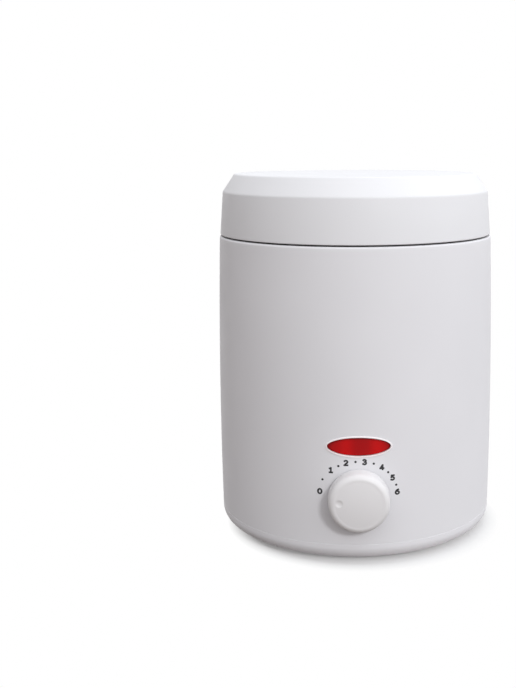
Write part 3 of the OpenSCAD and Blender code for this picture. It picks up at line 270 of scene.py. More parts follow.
def finish(name, pattern, marks, dark, light, roughness, relief, spread=0.05, **plain):
    """Material whose colour runs from dark to light with the pattern's Tone, whose roughness varies by
    spread with its Haze, and whose relief, in millimetres, follows its Grain. Marks are the pattern's own
    values, and the rest are values for the shader itself."""
    material = bpy.data.materials.new(name)
    material.use_nodes = True
    tree = material.node_tree
    shader = tree.nodes["Principled BSDF"]
    for key, value in plain.items():
        shader.inputs[key.replace("_", " ")].default_value = value
    place = add(tree, "ShaderNodeTexCoord")
    made = add(tree, "ShaderNodeGroup", node_tree=pattern)
    for key, value in marks.items():
        made.inputs[key].default_value = value
    tree.links.new(place.outputs["Object"], made.inputs["Vector"])
    tone = add(tree, "ShaderNodeMapRange", {"Value": made.outputs["Tone"]}, From_Min=0.3, From_Max=0.7)
    colours = {0: tone.outputs["Result"], 6: (*dark, 1), 7: (*light, 1)}
    colour = add(tree, "ShaderNodeMix", colours, data_type="RGBA")
    rough = add(tree, "ShaderNodeMapRange", {"Value": made.outputs["Haze"]}, From_Min=0.3, From_Max=0.7,
                To_Min=roughness - spread, To_Max=roughness + spread)
    grain = made.outputs["Grain"]
    bump = add(tree, "ShaderNodeBump", {"Height": grain}, Strength=0.6, Distance=relief * 0.001)
    tree.links.new(colour.outputs[2], shader.inputs["Base Color"])
    tree.links.new(rough.outputs["Result"], shader.inputs["Roughness"])
    tree.links.new(bump.outputs["Normal"], shader.inputs["Normal"])
    return material


def moulded(name, dark, light, roughness, relief=0.02, cells=2500.0, **plain):
    """Finish with the moulded skin, whose grain has that many cells to the metre."""
    return finish(name, skin, {"Cells": cells}, dark, light, roughness, relief, **plain)


def dress(piece, material, body, slot, *nodes):
    """Gives a new piece its material and the body that it moves with, and hides the nodes that it replaces.
    Its slot is not used."""
    piece.data.materials.clear()
    piece.data.materials.append(material)
    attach(piece, body)
    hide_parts(*nodes)


def paint(material, *nodes):
    """Gives nodes that stay as they are a material."""
    for name in nodes:
        for place in frame["nodes"][name].material_slots:
            place.material = material


skin = moulded_skin()
wall_dark, wall_light = (0.745, 0.742, 0.768), (0.775, 0.772, 0.798)
white_abs = moulded("white_abs", wall_dark, wall_light, 0.5, Specular_IOR_Level=0.3)
dress(base_pan, white_abs, "root", "white_plastic", "base_pan")

# Four rubber pads pressed into the pan's recesses carry the warmer. They are moulded from a matt black
# compound, with a soft edge where they meet the table.
pad = revolve(rounded((0, 0, 0), (foot_r, 0, 0.6), (foot_r, foot_h, 0.1), (0, foot_h, 0)), 64)
feet = surface("rubber_feet", *[pad + np.array([x, y, 0]) for x, y in foot_places])
black_rubber = moulded("black_rubber", (0.018, 0.018, 0.018), (0.036, 0.035, 0.034), 0.75, 0.04, 1800.0)
dress(feet, black_rubber, "root", "foot_rubber", "feet")

# Four self-tapping screws hold the pan. They and the other screws inside are cold-headed steel with a
# bright zinc coat, so they show faint lines along the wire that they were made from.


def drawn_marks():
    """Group for rolled, drawn and stamped metal. The position is stretched by Stretch before a noise is
    read, so the marks run along the axis with the smallest factor. Tone is slow noise, and Haze is handling
    marks."""
    sockets = {"Vector": "NodeSocketVector", "Stretch": "NodeSocketVector"}
    group, start, end = group_of("drawn_marks", sockets, ["Grain", "Tone", "Haze"])
    at = {"Vector": start.outputs["Vector"]}
    factors = {0: start.outputs["Vector"], 1: start.outputs["Stretch"]}
    pulled = add(group, "ShaderNodeVectorMath", factors, operation="MULTIPLY")
    lines = add(group, "ShaderNodeTexNoise", {"Vector": pulled.outputs[0]}, Scale=1.0, Detail=3.0)
    slow = add(group, "ShaderNodeTexNoise", at, Scale=90.0, Detail=3.0)
    smudge = add(group, "ShaderNodeTexNoise", at, Scale=260.0, Detail=5.0, Roughness=0.65)
    group.links.new(lines.outputs["Fac"], end.inputs["Grain"])
    group.links.new(slow.outputs["Fac"], end.inputs["Tone"])
    group.links.new(smudge.outputs["Fac"], end.inputs["Haze"])
    return group


def sheet_metal(name, dark, light, roughness, stretch=(4000.0, 4000.0, 150.0)):
    """Metal finish with drawn marks, which have stretch cells to the metre along each axis."""
    return finish(name, drawn, {"Stretch": stretch}, dark, light, roughness, 0.01, 0.08, Metallic=1.0)


drawn = drawn_marks()
zinc = sheet_metal("zinc_coated_steel", (0.56, 0.57, 0.58), (0.70, 0.70, 0.69), 0.32)
paint(zinc, "base_screws", "strap_screws", "bracket_screws", "lamp_screws", "clamp_screws", "block_screw",
      "terminal_screws")

# The body is one deep moulding of white ABS. Its wall tapers and swells a little, rolls over into the rim,
# and steps in to a ledge for the cup. Bosses inside take the screws of the pan, the strap, the thermostat
# and the lamp. A low bead frames the lens, and a painted highlight makes it lighter than the wall.
wall_t, mouth_r, rim_z = 2.2, 48.25, 109.0
ledge_r, ledge_z, ledge_t, taper_z = 42.6, 103.4, 2, 97.4
knob_z, lens_z, gland_z = 24.6, 43.2, 16
lens_w, lens_h = 21.9, 6.6
outside, inside = np.linspace(8.0, rim_z, 56), np.linspace(taper_z, joint_z, 30)
body = surface("body_moulding", revolve(np.concatenate([
    [[wall_radius(joint_z) - 0.1, joint_z], [wall_radius(joint_z + 0.1), joint_z + 0.1]],
    np.stack([wall_radius(outside), outside], 1),
    rounded((wall_radius(rim_z), rim_z, 0), (wall_radius(mouth_z), mouth_z, 0.7), (mouth_r, mouth_z, 0.3),
            (mouth_r, ledge_z, 0.2), (ledge_r, ledge_z, 0.2), (ledge_r, ledge_z - ledge_t, 0.2),
            (wall_radius(taper_z) - wall_t, taper_z, 0))[1:-1],
    np.stack([wall_radius(inside) - wall_t, inside], 1),
])), closed=True)


def to_front(grid, height, x=0.0):
    """Lays local +Z towards the front, at that height: (x, y, z) becomes (x, -z, y + height)."""
    return np.stack([grid[..., 0] + x, -grid[..., 2], grid[..., 1] + height], -1)


def turned(grid, degrees):
    """Turns points about the warmer's centre line."""
    c, s = math.cos(math.radians(degrees)), math.sin(math.radians(degrees))
    x, y, z = np.moveaxis(grid, -1, 0)
    return np.stack([x * c - y * s, x * s + y * c, z], -1)


def window(depths, growths):
    """Closed oval prism that follows the wall at the lens: at angle a and depth d from the wall, with
    growth g, the point is ((lens_w / 2 + g) cos a, lens_z + (lens_h / 2 + g) sin a), d out from the wall's
    surface."""
    a = np.arange(96) * 2 * np.pi / 96
    rows = []
    for d, g in zip(depths, growths):
        x, z = (lens_w / 2 + g) * np.cos(a), lens_z + (lens_h / 2 + g) * np.sin(a)
        rows.append(np.stack([x, -np.sqrt((wall_radius(z) + d) ** 2 - x * x), z], -1))
    ends = [np.tile([[0, -(wall_radius(lens_z) + d), lens_z]], (96, 1)) for d in (depths[0], depths[-1])]
    return np.stack([ends[0], *rows, ends[1]])


bead_h, bead = 0.22, np.radians(np.linspace(0, 90, 7))
strap_boss_x = wall_radius(36.4) - 8.6
bracket_x, bracket_y = 13, wall_radius(knob_z) - 9.2
lamp_x, lamp_boss_r = 17, 2.9
lamp_y = math.sqrt((wall_radius(lens_z) - wall_t) ** 2 - lamp_x ** 2) - 3.2
gland_pad = revolve(rounded((0, 48.94, 0), (7.7, 48.94, 0), (7.7, 52.75, 0.2), (0, 52.75, 0)), 96)
combine(
    body, "UNION",
    *[upright(x, y, 5.8, 23.8, boss_r) for x, y in screw_places],
    *[turned(brick((42, -0.8, 11.1), (51, 0.8, 23.8)), a) for a in (45, 135, 225, 315)],
    *[upright(x, 0, 37.9, 47.2, boss_r) for x in (-strap_boss_x, strap_boss_x)],
    *[turned(brick((strap_boss_x, -1.2, 37.9), (51, 1.2, 47.2)), a) for a in (0, 180)],
    *[to_front(upright(x, 0, bracket_y, 49, boss_r), knob_z) for x in (-bracket_x, bracket_x)],
    *[to_front(upright(x, 0, lamp_y, 47.6, lamp_boss_r), lens_z) for x in (-lamp_x, lamp_x)],
    window([-1, *(bead_h * np.sin(bead))], [0.55, *(0.25 + 0.3 * np.cos(bead))]),
    turned(to_front(gland_pad, gland_z), 180))
edge_r, edge = 0.15, np.linspace(0, 0.9, 7)
combine(
    body, "DIFFERENCE",
    *[upright(x, y, 4, 20.8, pilot_r) for x, y in screw_places],
    *[upright(x, 0, 36, 46.2, pilot_r) for x in (-strap_boss_x, strap_boss_x)],
    *[to_front(upright(x, 0, bracket_y - 1, bracket_y + 5, pilot_r), knob_z)
      for x in (-bracket_x, bracket_x)],
    *[to_front(upright(x, 0, lamp_y - 1, lamp_y + 3, pilot_r), lens_z) for x in (-lamp_x, lamp_x)],
    to_front(upright(0, 0, 43, 56, 5.2, 96), knob_z),
    window([-5, *(bead_h + edge_r * (edge - 0.9)), 1.2], [0, *(edge_r * (1 - np.sqrt(1 - edge ** 2))), 2]),
    turned(to_front(upright(0, 0, 45, 56, 5.35, 96), gland_z), 180))


def oval_share(tree, position, centre_z, half_w, half_h):
    """Output that reads how far a point lies from the middle of an upright oval in the front wall, as a
    share of the oval's half width and half height in millimetres: 1 on the oval itself."""
    ends = {0: position, 1: (0, 0, centre_z * 0.001)}
    apart = add(tree, "ShaderNodeVectorMath", ends, operation="SUBTRACT")
    factors = {0: apart.outputs[0], 1: (1000 / half_w, 0, 1000 / half_h)}
    shares = add(tree, "ShaderNodeVectorMath", factors, operation="MULTIPLY")
    return add(tree, "ShaderNodeVectorMath", {0: shares.outputs[0]}, operation="LENGTH").outputs["Value"]


def times(tree, first, second):
    """Output that is the product of two others."""
    return add(tree, "ShaderNodeMath", {0: first, 1: second}, operation="MULTIPLY").outputs[0]


def recolour(material, mask, colour):
    """Lays a second colour over a finish where the mask is 1."""
    tree = material.node_tree
    colours = {0: mask, 6: tree.nodes["Mix"].outputs[2], 7: (*colour, 1)}
    mixed = add(tree, "ShaderNodeMix", colours, data_type="RGBA")
    tree.links.new(mixed.outputs[2], tree.nodes["Principled BSDF"].inputs["Base Color"])


body_abs = moulded("body_abs", wall_dark, wall_light, 0.5, Specular_IOR_Level=0.3)
tree = body_abs.node_tree
point = tree.nodes["Texture Coordinate"].outputs["Object"]
# Painted highlight: a thin oval band on the bead round the lens, on the front half only, gets a lighter
# colour.
bead_share = oval_share(tree, point, lens_z, 11.5, 3.85)
bead_highlight = add(tree, "ShaderNodeMapRange", {"Value": bead_share}, From_Min=1.02, From_Max=0.98)
point_y = add(tree, "ShaderNodeSeparateXYZ", {0: point}).outputs["Y"]
in_front = add(tree, "ShaderNodeMath", {0: point_y, 1: 0.0}, operation="LESS_THAN")
recolour(body_abs, times(tree, bead_highlight.outputs["Result"], in_front.outputs[0]), (0.92, 0.87, 0.88))
dress(body, body_abs, "root", "white_plastic", "body_shell")

# A soft ring of red-brown silicone lies on the ledge under the cup's flange. It keeps the hot cup off the
# plastic and stops wax from running into the heater.
silicone = moulded("red_silicone", (0.30, 0.045, 0.03), (0.38, 0.06, 0.04), 0.55, 0.02, 1500.0)
paint(silicone, "cup_gasket")

# The heater cup is spun from aluminium sheet with a flat flange. Turning leaves fine rings about the centre
# line.


def spun_marks():
    """Group for spun and turned metal: the noise is read from the distance to the centre line and the
    height alone, so that its lines are rings. Tone is slow noise, and Haze is handling marks."""
    group, start, end = group_of("spun_marks", {"Vector": "NodeSocketVector"}, ["Grain", "Tone", "Haze"])
    at = {"Vector": start.outputs["Vector"]}
    factors = {0: start.outputs["Vector"], 1: (1, 1, 0)}
    flat = add(group, "ShaderNodeVectorMath", factors, operation="MULTIPLY")
    away = add(group, "ShaderNodeVectorMath", {0: flat.outputs[0]}, operation="LENGTH")
    parts = add(group, "ShaderNodeSeparateXYZ", {0: start.outputs["Vector"]})
    both = add(group, "ShaderNodeCombineXYZ", {"X": away.outputs["Value"], "Y": parts.outputs["Z"]})
    rings = {"Vector": both.outputs[0]}
    rings = add(group, "ShaderNodeTexNoise", rings, Scale=2600.0, Detail=4.0, Roughness=0.7)
    slow = add(group, "ShaderNodeTexNoise", at, Scale=40.0, Detail=3.0)
    smudge = add(group, "ShaderNodeTexNoise", at, Scale=120.0, Detail=6.0, Roughness=0.7)
    group.links.new(rings.outputs["Fac"], end.inputs["Grain"])
    group.links.new(slow.outputs["Fac"], end.inputs["Tone"])
    group.links.new(smudge.outputs["Fac"], end.inputs["Haze"])
    return group


def spun_metal(name, dark, light, roughness, relief, spread):
    """Metal finish with spun marks."""
    return finish(name, spun, {}, dark, light, roughness, relief, spread, Metallic=1.0)


spun = spun_marks()
cup_t, cup_z, flange_z = 1.2, 48.0, 104.6
cup_r, flange_r = 41.6, 46.85
cup_in, floor_z, flange_top = cup_r - cup_t, cup_z + cup_t, flange_z + cup_t
cup = surface("heater_cup_spinning", revolve(rounded(
    (0, cup_z, 0), (cup_r, cup_z, 6.5), (cup_r, flange_z, 0.5), (flange_r, flange_z, 0.3),
    (flange_r, flange_top, 0.3), (cup_in, flange_top, 0.6), (cup_in, floor_z, 5.3), (0, floor_z, 0)), 192))
cup_metal = spun_metal("spun_aluminium", (0.62, 0.63, 0.64), (0.74, 0.74, 0.74), 0.36, 0.02, 0.08)
dress(cup, cup_metal, "root", "aluminium", "heater_cup")
pressed = sheet_metal("pressed_aluminium", (0.62, 0.63, 0.64), (0.72, 0.72, 0.72), 0.38,
                      (3000.0, 80.0, 3000.0))
paint(pressed, "heat_shield")

# The wax pot lifts out of the cup. It is thin aluminium with a thick rolled rim, polished a little on the
# inside. Four holes near the top take the rivets of its ears.
pot_r, pot_t, pot_z = 39.8, 1, 49.8
rim_r, rim_low, rim_top = 43, 105.8, 108
rivet_r, rivet_z = 1.25, 98.8
pot = surface("wax_pot_spinning", revolve(rounded(
    (0, pot_z, 0), (pot_r, pot_z, 5), (pot_r, rim_low, 0.3), (rim_r, rim_low, 0.4), (rim_r, rim_top, 0.8),
    (pot_r - pot_t, rim_top, 0.4), (pot_r - pot_t, pot_z + pot_t, 4), (0, pot_z + pot_t, 0)), 192))
side_rod = np.flip(upright(0, 0, 36, 42, rivet_r, 32), -1) + np.array([0, 0, rivet_z])
combine(pot, "DIFFERENCE", *[turned(side_rod, a) for a in (-5.5, 5.5, 174.5, 185.5)])
pot_metal = spun_metal("polished_aluminium", (0.70, 0.70, 0.71), (0.80, 0.80, 0.80), 0.26, 0.012, 0.06)
dress(pot, pot_metal, "pot", "pot_aluminium", "wax_pot")

# Two ears are riveted to the inside of the pot. A bent steel wire hooks into them and folds back over the
# rim: its ends are upset into small heads so that it can't come out.
stainless = sheet_metal("stainless_sheet", (0.52, 0.52, 0.52), (0.64, 0.63, 0.62), 0.28,
                        (150.0, 4000.0, 4000.0))
paint(stainless, "pot_ears", "ear_rivets", "clamp_plate", "cup_strap", "fuse_clip")


def tube(path, radii, up=(0, 0, 1), around=32):
    """Round bar along a path in a plane: path point plus radius times (cos a side + sin a up), where side
    is square to the path and to up. Both ends are drawn to a point in their own plane."""
    along = np.gradient(path, axis=0)
    side = np.cross(along, up)
    side /= np.linalg.norm(side, axis=1, keepdims=True)
    a = np.arange(around) * 2 * np.pi / around
    rim = np.cos(a)[None, :, None] * side[:, None] + np.sin(a)[None, :, None] * np.array(up, float)
    rings = path[:, None] + np.asarray(radii, float)[:, None, None] * rim
    ends = [np.tile(path[k], (around, 1)) for k in (0, -1)]
    return np.concatenate([ends[0][None], rings, ends[1][None]])


bail_r, hook_bend, wire_r, pivot_z = 41.7, 1.6, 1.15, 109.5
a = np.radians(np.linspace(-90, 0, 9))
hook = np.concatenate([
    np.stack([[35.95, 36.05, 36.75, 36.85, 36.86, 38.4], np.zeros(6)], 1),
    np.stack([bail_r - hook_bend + hook_bend * np.cos(a), hook_bend + hook_bend * np.sin(a)], 1)])
a = np.linspace(math.asin(hook_bend / bail_r), math.pi - math.asin(hook_bend / bail_r), 121)[1:-1]
arch = np.stack([bail_r * np.cos(a), bail_r * np.sin(a)], 1)
loop = np.concatenate([hook, arch, hook[::-1] * (-1, 1)])
head = np.array([1.5, 1.65, 1.65, 1.5, wire_r])
radii = np.full(len(loop), wire_r)
radii[:5], radii[-5:] = head, head[::-1]
bail = surface("bail_wire", tube(np.column_stack([loop, np.full(len(loop), pivot_z)]), radii), crease=50)
wire_steel = finish("polished_wire", drawn, {"Stretch": (600.0, 600.0, 3000.0)}, (0.58, 0.58, 0.58),
                    (0.68, 0.67, 0.66), 0.22, 0.006, 0.05, Metallic=1.0)
dress(bail, wire_steel, "bail", "stainless", "bail_handle")

# The lid is a loose moulding of white ABS: a skirt with a little taper, a sloping band and a flat top. A
# lip under it drops into the body's mouth. The underside of the skirt, in the narrow seam over the body's
# rim, is painted nearly black as painted shade.
top_z, skirt_z, seat_z = 133.1, 111.3, 110.8
lip_out, lip_in, lip_low = 47.85, 46.25, 107.0
lid = surface("lid_moulding", revolve(rounded(
    (0, top_z, 0), (44.5, top_z, 1.3), (48.9, 126.7, 1.8), (50.2, skirt_z, 0.4), (48.8, skirt_z, 0.05),
    (48.8, seat_z, 0.1), (lip_out, seat_z, 0.1), (lip_out, lip_low, 0.4), (lip_in, lip_low, 0.4),
    (lip_in, seat_z, 0.3), (47.7, 112.9, 0.5), (46.7, 125.9, 1), (41.8, 130.9, 1), (0, 130.9, 0))))
lid_abs = moulded("lid_abs", (0.765, 0.768, 0.79), (0.795, 0.798, 0.82), 0.48, Specular_IOR_Level=0.3)
tree = lid_abs.node_tree
point = tree.nodes["Texture Coordinate"].outputs["Object"]
point_z = add(tree, "ShaderNodeSeparateXYZ", {0: point}).outputs["Z"]
# Painted shade: the skirt's underside, from 111.34 to 111.42 mm up and beyond 48.1 mm out, is painted nearly
# black.
under = add(tree, "ShaderNodeMapRange", {"Value": point_z}, From_Min=0.11142, From_Max=0.11134)
flat = add(tree, "ShaderNodeVectorMath", {0: point, 1: (1, 1, 0)}, operation="MULTIPLY")
away = add(tree, "ShaderNodeVectorMath", {0: flat.outputs[0]}, operation="LENGTH").outputs["Value"]
outer = add(tree, "ShaderNodeMapRange", {"Value": away}, From_Min=0.0481, From_Max=0.0482)
recolour(lid_abs, times(tree, under.outputs["Result"], outer.outputs["Result"]), (0.05, 0.045, 0.045))
dress(lid, lid_abs, "lid", "white_plastic", "lid")

# The heater is a wound ring under a mica sheet, pressed against the cup's floor by a plate and a stud with
# two nuts. Under it hang a heat shield and the strap that holds it all. A thermal cut-out lies in a saddle
# beside it.


def wound_marks():
    """Group for the heating ring: Grain repeats round the centre line like turns of wire, each a raised
    sine. Tone is slow noise, and Haze is middling noise."""
    group, start, end = group_of("wound_marks", {"Vector": "NodeSocketVector"}, ["Grain", "Tone", "Haze"])
    at = {"Vector": start.outputs["Vector"]}
    windings = 150
    turn = add(group, "ShaderNodeTexGradient", at, gradient_type="RADIAL").outputs["Fac"]
    phase = times(group, turn, 2 * math.pi * windings)
    wave = add(group, "ShaderNodeMath", {0: phase}, operation="SINE")
    slow = add(group, "ShaderNodeTexNoise", at, Scale=80.0)
    haze = add(group, "ShaderNodeTexNoise", at, Scale=300.0)
    group.links.new(wave.outputs[0], end.inputs["Grain"])
    group.links.new(slow.outputs["Fac"], end.inputs["Tone"])
    group.links.new(haze.outputs["Fac"], end.inputs["Haze"])
    return group


def flaked_marks():
    """Group for mica: Voronoi cells give flat flakes with their own tone, and a noise gives the cloudy
    haze."""
    group, start, end = group_of("flaked_marks", {"Vector": "NodeSocketVector"}, ["Grain", "Tone", "Haze"])
    at = {"Vector": start.outputs["Vector"]}
    flakes = add(group, "ShaderNodeTexVoronoi", at, Scale=220.0)
    grey = add(group, "ShaderNodeSeparateXYZ", {0: flakes.outputs["Color"]})
    cloud = add(group, "ShaderNodeTexNoise", at, Scale=70.0, Detail=5.0)
    group.links.new(flakes.outputs["Distance"], end.inputs["Grain"])
    group.links.new(grey.outputs["X"], end.inputs["Tone"])
    group.links.new(cloud.outputs["Fac"], end.inputs["Haze"])
    return group


mica = finish("mica_flakes", flaked_marks(), {}, (0.46, 0.38, 0.26), (0.60, 0.52, 0.38), 0.35, 0.01,
              Coat_Weight=0.3)
paint(mica, "mica_sheet")
wound = finish("wound_heater", wound_marks(), {}, (0.22, 0.19, 0.15), (0.34, 0.30, 0.24), 0.6, 0.15)
paint(wound, "heating_ring")
paint(zinc, "centre_stud", "stud_nuts", "stud_spacer")
tinned = sheet_metal("tinned_can", (0.60, 0.60, 0.62), (0.72, 0.72, 0.73), 0.25, (4000.0, 150.0, 4000.0))
paint(tinned, "thermal_fuse")

# The thermostat hangs on a zinc-plated bracket behind the knob. Its spindle turns in a brass bushing,
# behind it a ceramic pin stands against two springy leaves, and a bimetal strip opens them when the cup is
# hot enough.
brass = sheet_metal("turned_brass", (0.62, 0.44, 0.18), (0.74, 0.55, 0.26), 0.3, (3000.0, 200.0, 3000.0))
paint(brass, "spindle_bushing", "bushing_nut", "terminal_barrels")
plated = sheet_metal("plated_bracket", (0.58, 0.58, 0.56), (0.68, 0.67, 0.63), 0.36, (150.0, 4000.0, 4000.0))
paint(plated, "thermostat_bracket", "spindle")
blued = sheet_metal("spring_steel", (0.20, 0.21, 0.23), (0.32, 0.33, 0.35), 0.34, (4000.0, 4000.0, 300.0))
paint(blued, "spindle_circlip", "knob_clip")
steatite = moulded("steatite", (0.74, 0.71, 0.64), (0.82, 0.79, 0.73), 0.5, 0.02, 3500.0)
paint(steatite, "pressure_pin", "stack_ceramics")
paint(zinc, "stack_rivet")
bronze = sheet_metal("phosphor_bronze", (0.60, 0.36, 0.20), (0.72, 0.47, 0.29), 0.3, (4000.0, 4000.0, 200.0))
paint(bronze, "front_leaf", "rear_leaf")
silver = sheet_metal("contact_silver", (0.78, 0.77, 0.75), (0.88, 0.87, 0.85), 0.24)
paint(silver, "contact_points")
two_metal = sheet_metal("bimetal_strip", (0.48, 0.46, 0.42), (0.60, 0.57, 0.50), 0.33,
                        (4000.0, 4000.0, 200.0))
paint(two_metal, "bimetal_blade", "bimetal_button")

# The knob is a hollow moulding of white ABS with a slightly domed face. A round dimple near its edge shows
# the setting, and a steel ring squeezes its split hub onto the spindle's flat.
knob_back, knob_front = wall_radius(knob_z) + 0.5, wall_radius(knob_z) + 7.0
knob_r, face_r, dome_h, hub_r, hub_l = 10.8, 8.2, 0.55, 4.6, 5.5
face_edge, hollow_front = knob_front - dome_h, knob_front - 1.9
dome = np.linspace(0, 1, 60) * face_r
side = rounded((face_r - 0.2, face_edge, 0), (10.45, face_edge, 2.1), (knob_r, knob_back, 0.15),
               (9.3, knob_back, 0.1), (8.2, hollow_front, 0.5), (hub_r, hollow_front, 0.4),
               (hub_r, knob_back - hub_l, 0.3), (0, knob_back - hub_l, 0), steps=10)[1:]
shape = revolve(np.concatenate([np.stack([dome, knob_front - dome_h * (dome / face_r) ** 2], 1), side]), 256)
dimple_x, dimple_y = -6.9 * math.cos(math.radians(5)), 6.9 * math.sin(math.radians(5))
dimple_r, dimple_h = 1.3, 0.3
away = np.hypot(shape[..., 0] - dimple_x, shape[..., 1] - dimple_y)
dimple = dimple_h * np.clip(1 - (away / dimple_r) ** 2, 0, 1)
shape[..., 2] -= np.where(shape[..., 2] > knob_front - 1, dimple, 0)
knob = surface("knob_moulding", to_front(shape, knob_z))
bore_r, bore_flat = 3.05, 1.55
a = np.linspace(0, 2 * math.pi, 49)[:-1]
d_bore = np.stack([bore_r * np.cos(a), np.minimum(bore_r * np.sin(a), bore_flat)], 1)
bore_rows = ((0, knob_back - 6.5), (1, knob_back - 6.5), (1, hollow_front), (0, hollow_front))
bore = np.stack([np.column_stack([d_bore * grow, np.full(48, out)]) for grow, out in bore_rows])
combine(knob, "DIFFERENCE", to_front(bore, knob_z))
knob_abs = moulded("knob_abs", (0.745, 0.735, 0.745), (0.775, 0.765, 0.775), 0.42, Specular_IOR_Level=0.4)
dress(knob, knob_abs, "knob", "knob_plastic", "knob")

# The dial is pad-printed on the wall round the knob in nearly black ink: the numbers 0 to 6 with a dot
# between each pair. The ink is a film, so each mark is a thin plate bent to the wall. A digit is drawn with
# a few strokes of one width.
ink_t, stroke_w, dot_r, digit_stretch = 0.06, 0.6, 0.4, 1.13


def sweep(x, y, rx, ry, start, stop, steps=12):
    """Points of an elliptical arc about (x, y), from one angle in degrees to the other."""
    a = np.radians(np.linspace(start, stop, steps + 1))
    return np.stack([x + rx * np.cos(a), y + ry * np.sin(a)], 1)


def stroke(path):
    """Closed flat bar along a path: each point plus and minus half the stroke's width square to the path,
    at both faces of the ink. Both ends reach about a third of a width further."""
    path = np.asarray(path, float) * (digit_stretch, 1)
    along = np.gradient(path, axis=0)
    along /= np.linalg.norm(along, axis=1, keepdims=True)
    path[[0, -1]] += along[[0, -1]] * stroke_w * np.array([[-0.35], [0.35]])
    side = np.stack([-along[:, 1], along[:, 0]], 1) * stroke_w / 2
    corners = (1, ink_t / 2), (-1, ink_t / 2), (-1, -ink_t / 2), (1, -ink_t / 2)
    edges = [np.column_stack([path + sign * side, np.full(len(path), face)]) for sign, face in corners]
    rows = np.stack(edges, 1)
    ends = [np.tile(rows[k].mean(0), (4, 1))[None] for k in (0, -1)]
    return np.concatenate([ends[0], rows, ends[1]])


def on_wall(points, x, height):
    """Bends flat points (u, v, w) onto the wall: (x + u, height + v) seen from the front, w above the
    surface."""
    u, v = points[:, 0] + x, points[:, 1] + height
    return np.stack([u, -np.sqrt((wall_radius(v) + points[:, 2]) ** 2 - u * u), v], 1)


digits = [
    [sweep(0, 0, 0.56, 0.83, 0, 180), sweep(0, 0, 0.56, 0.83, 180, 360)],
    [[(0.1, -0.83), (0.1, 0.83)], [(0.05, 0.8), (-0.36, 0.55)], [(-0.4, -0.83), (0.55, -0.83)]],
    [np.concatenate([sweep(-0.02, 0.36, 0.5, 0.47, 155, -35), [(-0.5, -0.83)]]),
     [(-0.5, -0.83), (0.55, -0.83)]],
    [sweep(-0.04, 0.42, 0.46, 0.41, 150, -90), sweep(-0.04, -0.4, 0.54, 0.43, 90, -150)],
    [[(0.2, 0.83), (-0.56, -0.35)], [(-0.56, -0.38), (0.56, -0.38)], [(0.2, -0.83), (0.2, 0.83)]],
    [[(-0.33, 0.83), (0.45, 0.83)], [(-0.33, 0.83), (-0.4, 0.1)], sweep(-0.08, -0.3, 0.56, 0.53, 125, -140)],
    [sweep(0.5, -0.25, 1.04, 1.08, 98, 180), sweep(0, -0.3, 0.54, 0.53, 0, 180),
     sweep(0, -0.3, 0.54, 0.53, 180, 360)],
]
number_places = ((170.3, 13.7), (133.6, 14.1), (109, 13.7), (81.7, 13.4), (54.6, 13.7), (31.6, 13.7),
                 (8, 13.5))
dot_places = ((152, 14.2), (121, 13.7), (95, 13.4), (68, 13.6), (42.5, 13.7), (19, 13.7))
marks = [(*at, [stroke(path) for path in digit]) for at, digit in zip(number_places, digits)]
marks += [(*at, [upright(0, 0, -ink_t / 2, ink_t / 2, dot_r, 24)]) for at in dot_places]
ink = bmesh.new()
for angle, out, bars in marks:
    mark = surface("mark", bars[0])
    if len(bars) > 1:
        combine(mark, "UNION", *bars[1:])
    points = np.empty(len(mark.data.vertices) * 3)
    mark.data.vertices.foreach_get("co", points)
    a = math.radians(angle)
    bent = on_wall(points.reshape(-1, 3) * 1000, out * math.cos(a), knob_z + out * math.sin(a))
    mark.data.vertices.foreach_set("co", bent.ravel() * 0.001)
    ink.from_mesh(mark.data)
    bpy.data.objects.remove(mark)
print_mesh = bpy.data.meshes.new("dial_print")
ink.to_mesh(print_mesh)
ink.free()
dial = bpy.data.objects.new("dial_print", print_mesh)
bpy.context.scene.collection.objects.link(dial)
clean(print_mesh)
grey_ink = moulded("grey_ink", (0.010, 0.010, 0.012), (0.020, 0.019, 0.022), 0.6, 0.005, 6000.0)
print_mesh.materials.append(grey_ink)
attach(dial, "root")

# The indicator lens is a plug of clear red acrylic in an oval window, with a flange behind the wall.
# Upright ribs on its back break up the lamp's light. Its colour carries painted reflections in lighter and
# darker bands, and painted shade that darkens its border.
face_w, face_h = 10.8, 3.15
back_w, back_h, back_y = 12.1, 4.45, 48.03
rib_pitch, rib_h = 1.5, 0.5
a = np.arange(144) * 2 * np.pi / 144
rows = []
for share in np.linspace(0, 1, 28):
    x, z = face_w * share * np.cos(a), lens_z + face_h * share * np.sin(a)
    fall = 0.3 + 0.3 * (1 - math.sqrt(1 - max(0.0, share - 0.9) ** 2 * 99))
    rows.append(np.stack([x, -np.sqrt((wall_radius(z) - fall) ** 2 - x * x), z], -1))
for reach, half_w, half_h in ((50.2, 10.85, 3.2), (49.91, 10.85, 3.2), (49.91, 12.3, 4.65),
                              (48.2, 12.3, 4.65), (back_y, back_w, back_h)):
    x, z = half_w * np.cos(a), lens_z + half_h * np.sin(a)
    rows.append(np.stack([x, -np.sqrt(reach ** 2 - x * x), z], -1))
for share in np.linspace(1, 0, 28)[1:]:
    x, z = back_w * share * np.cos(a), lens_z + back_h * share * np.sin(a)
    ribs = rib_h / 2 * (1 + np.cos(x * 2 * np.pi / rib_pitch)) * np.clip((1 - share) * 8, 0, 1)
    rows.append(np.stack([x, -np.sqrt((back_y + ribs) ** 2 - x * x), z], -1))
lens = surface("lens_moulding", np.stack(rows))


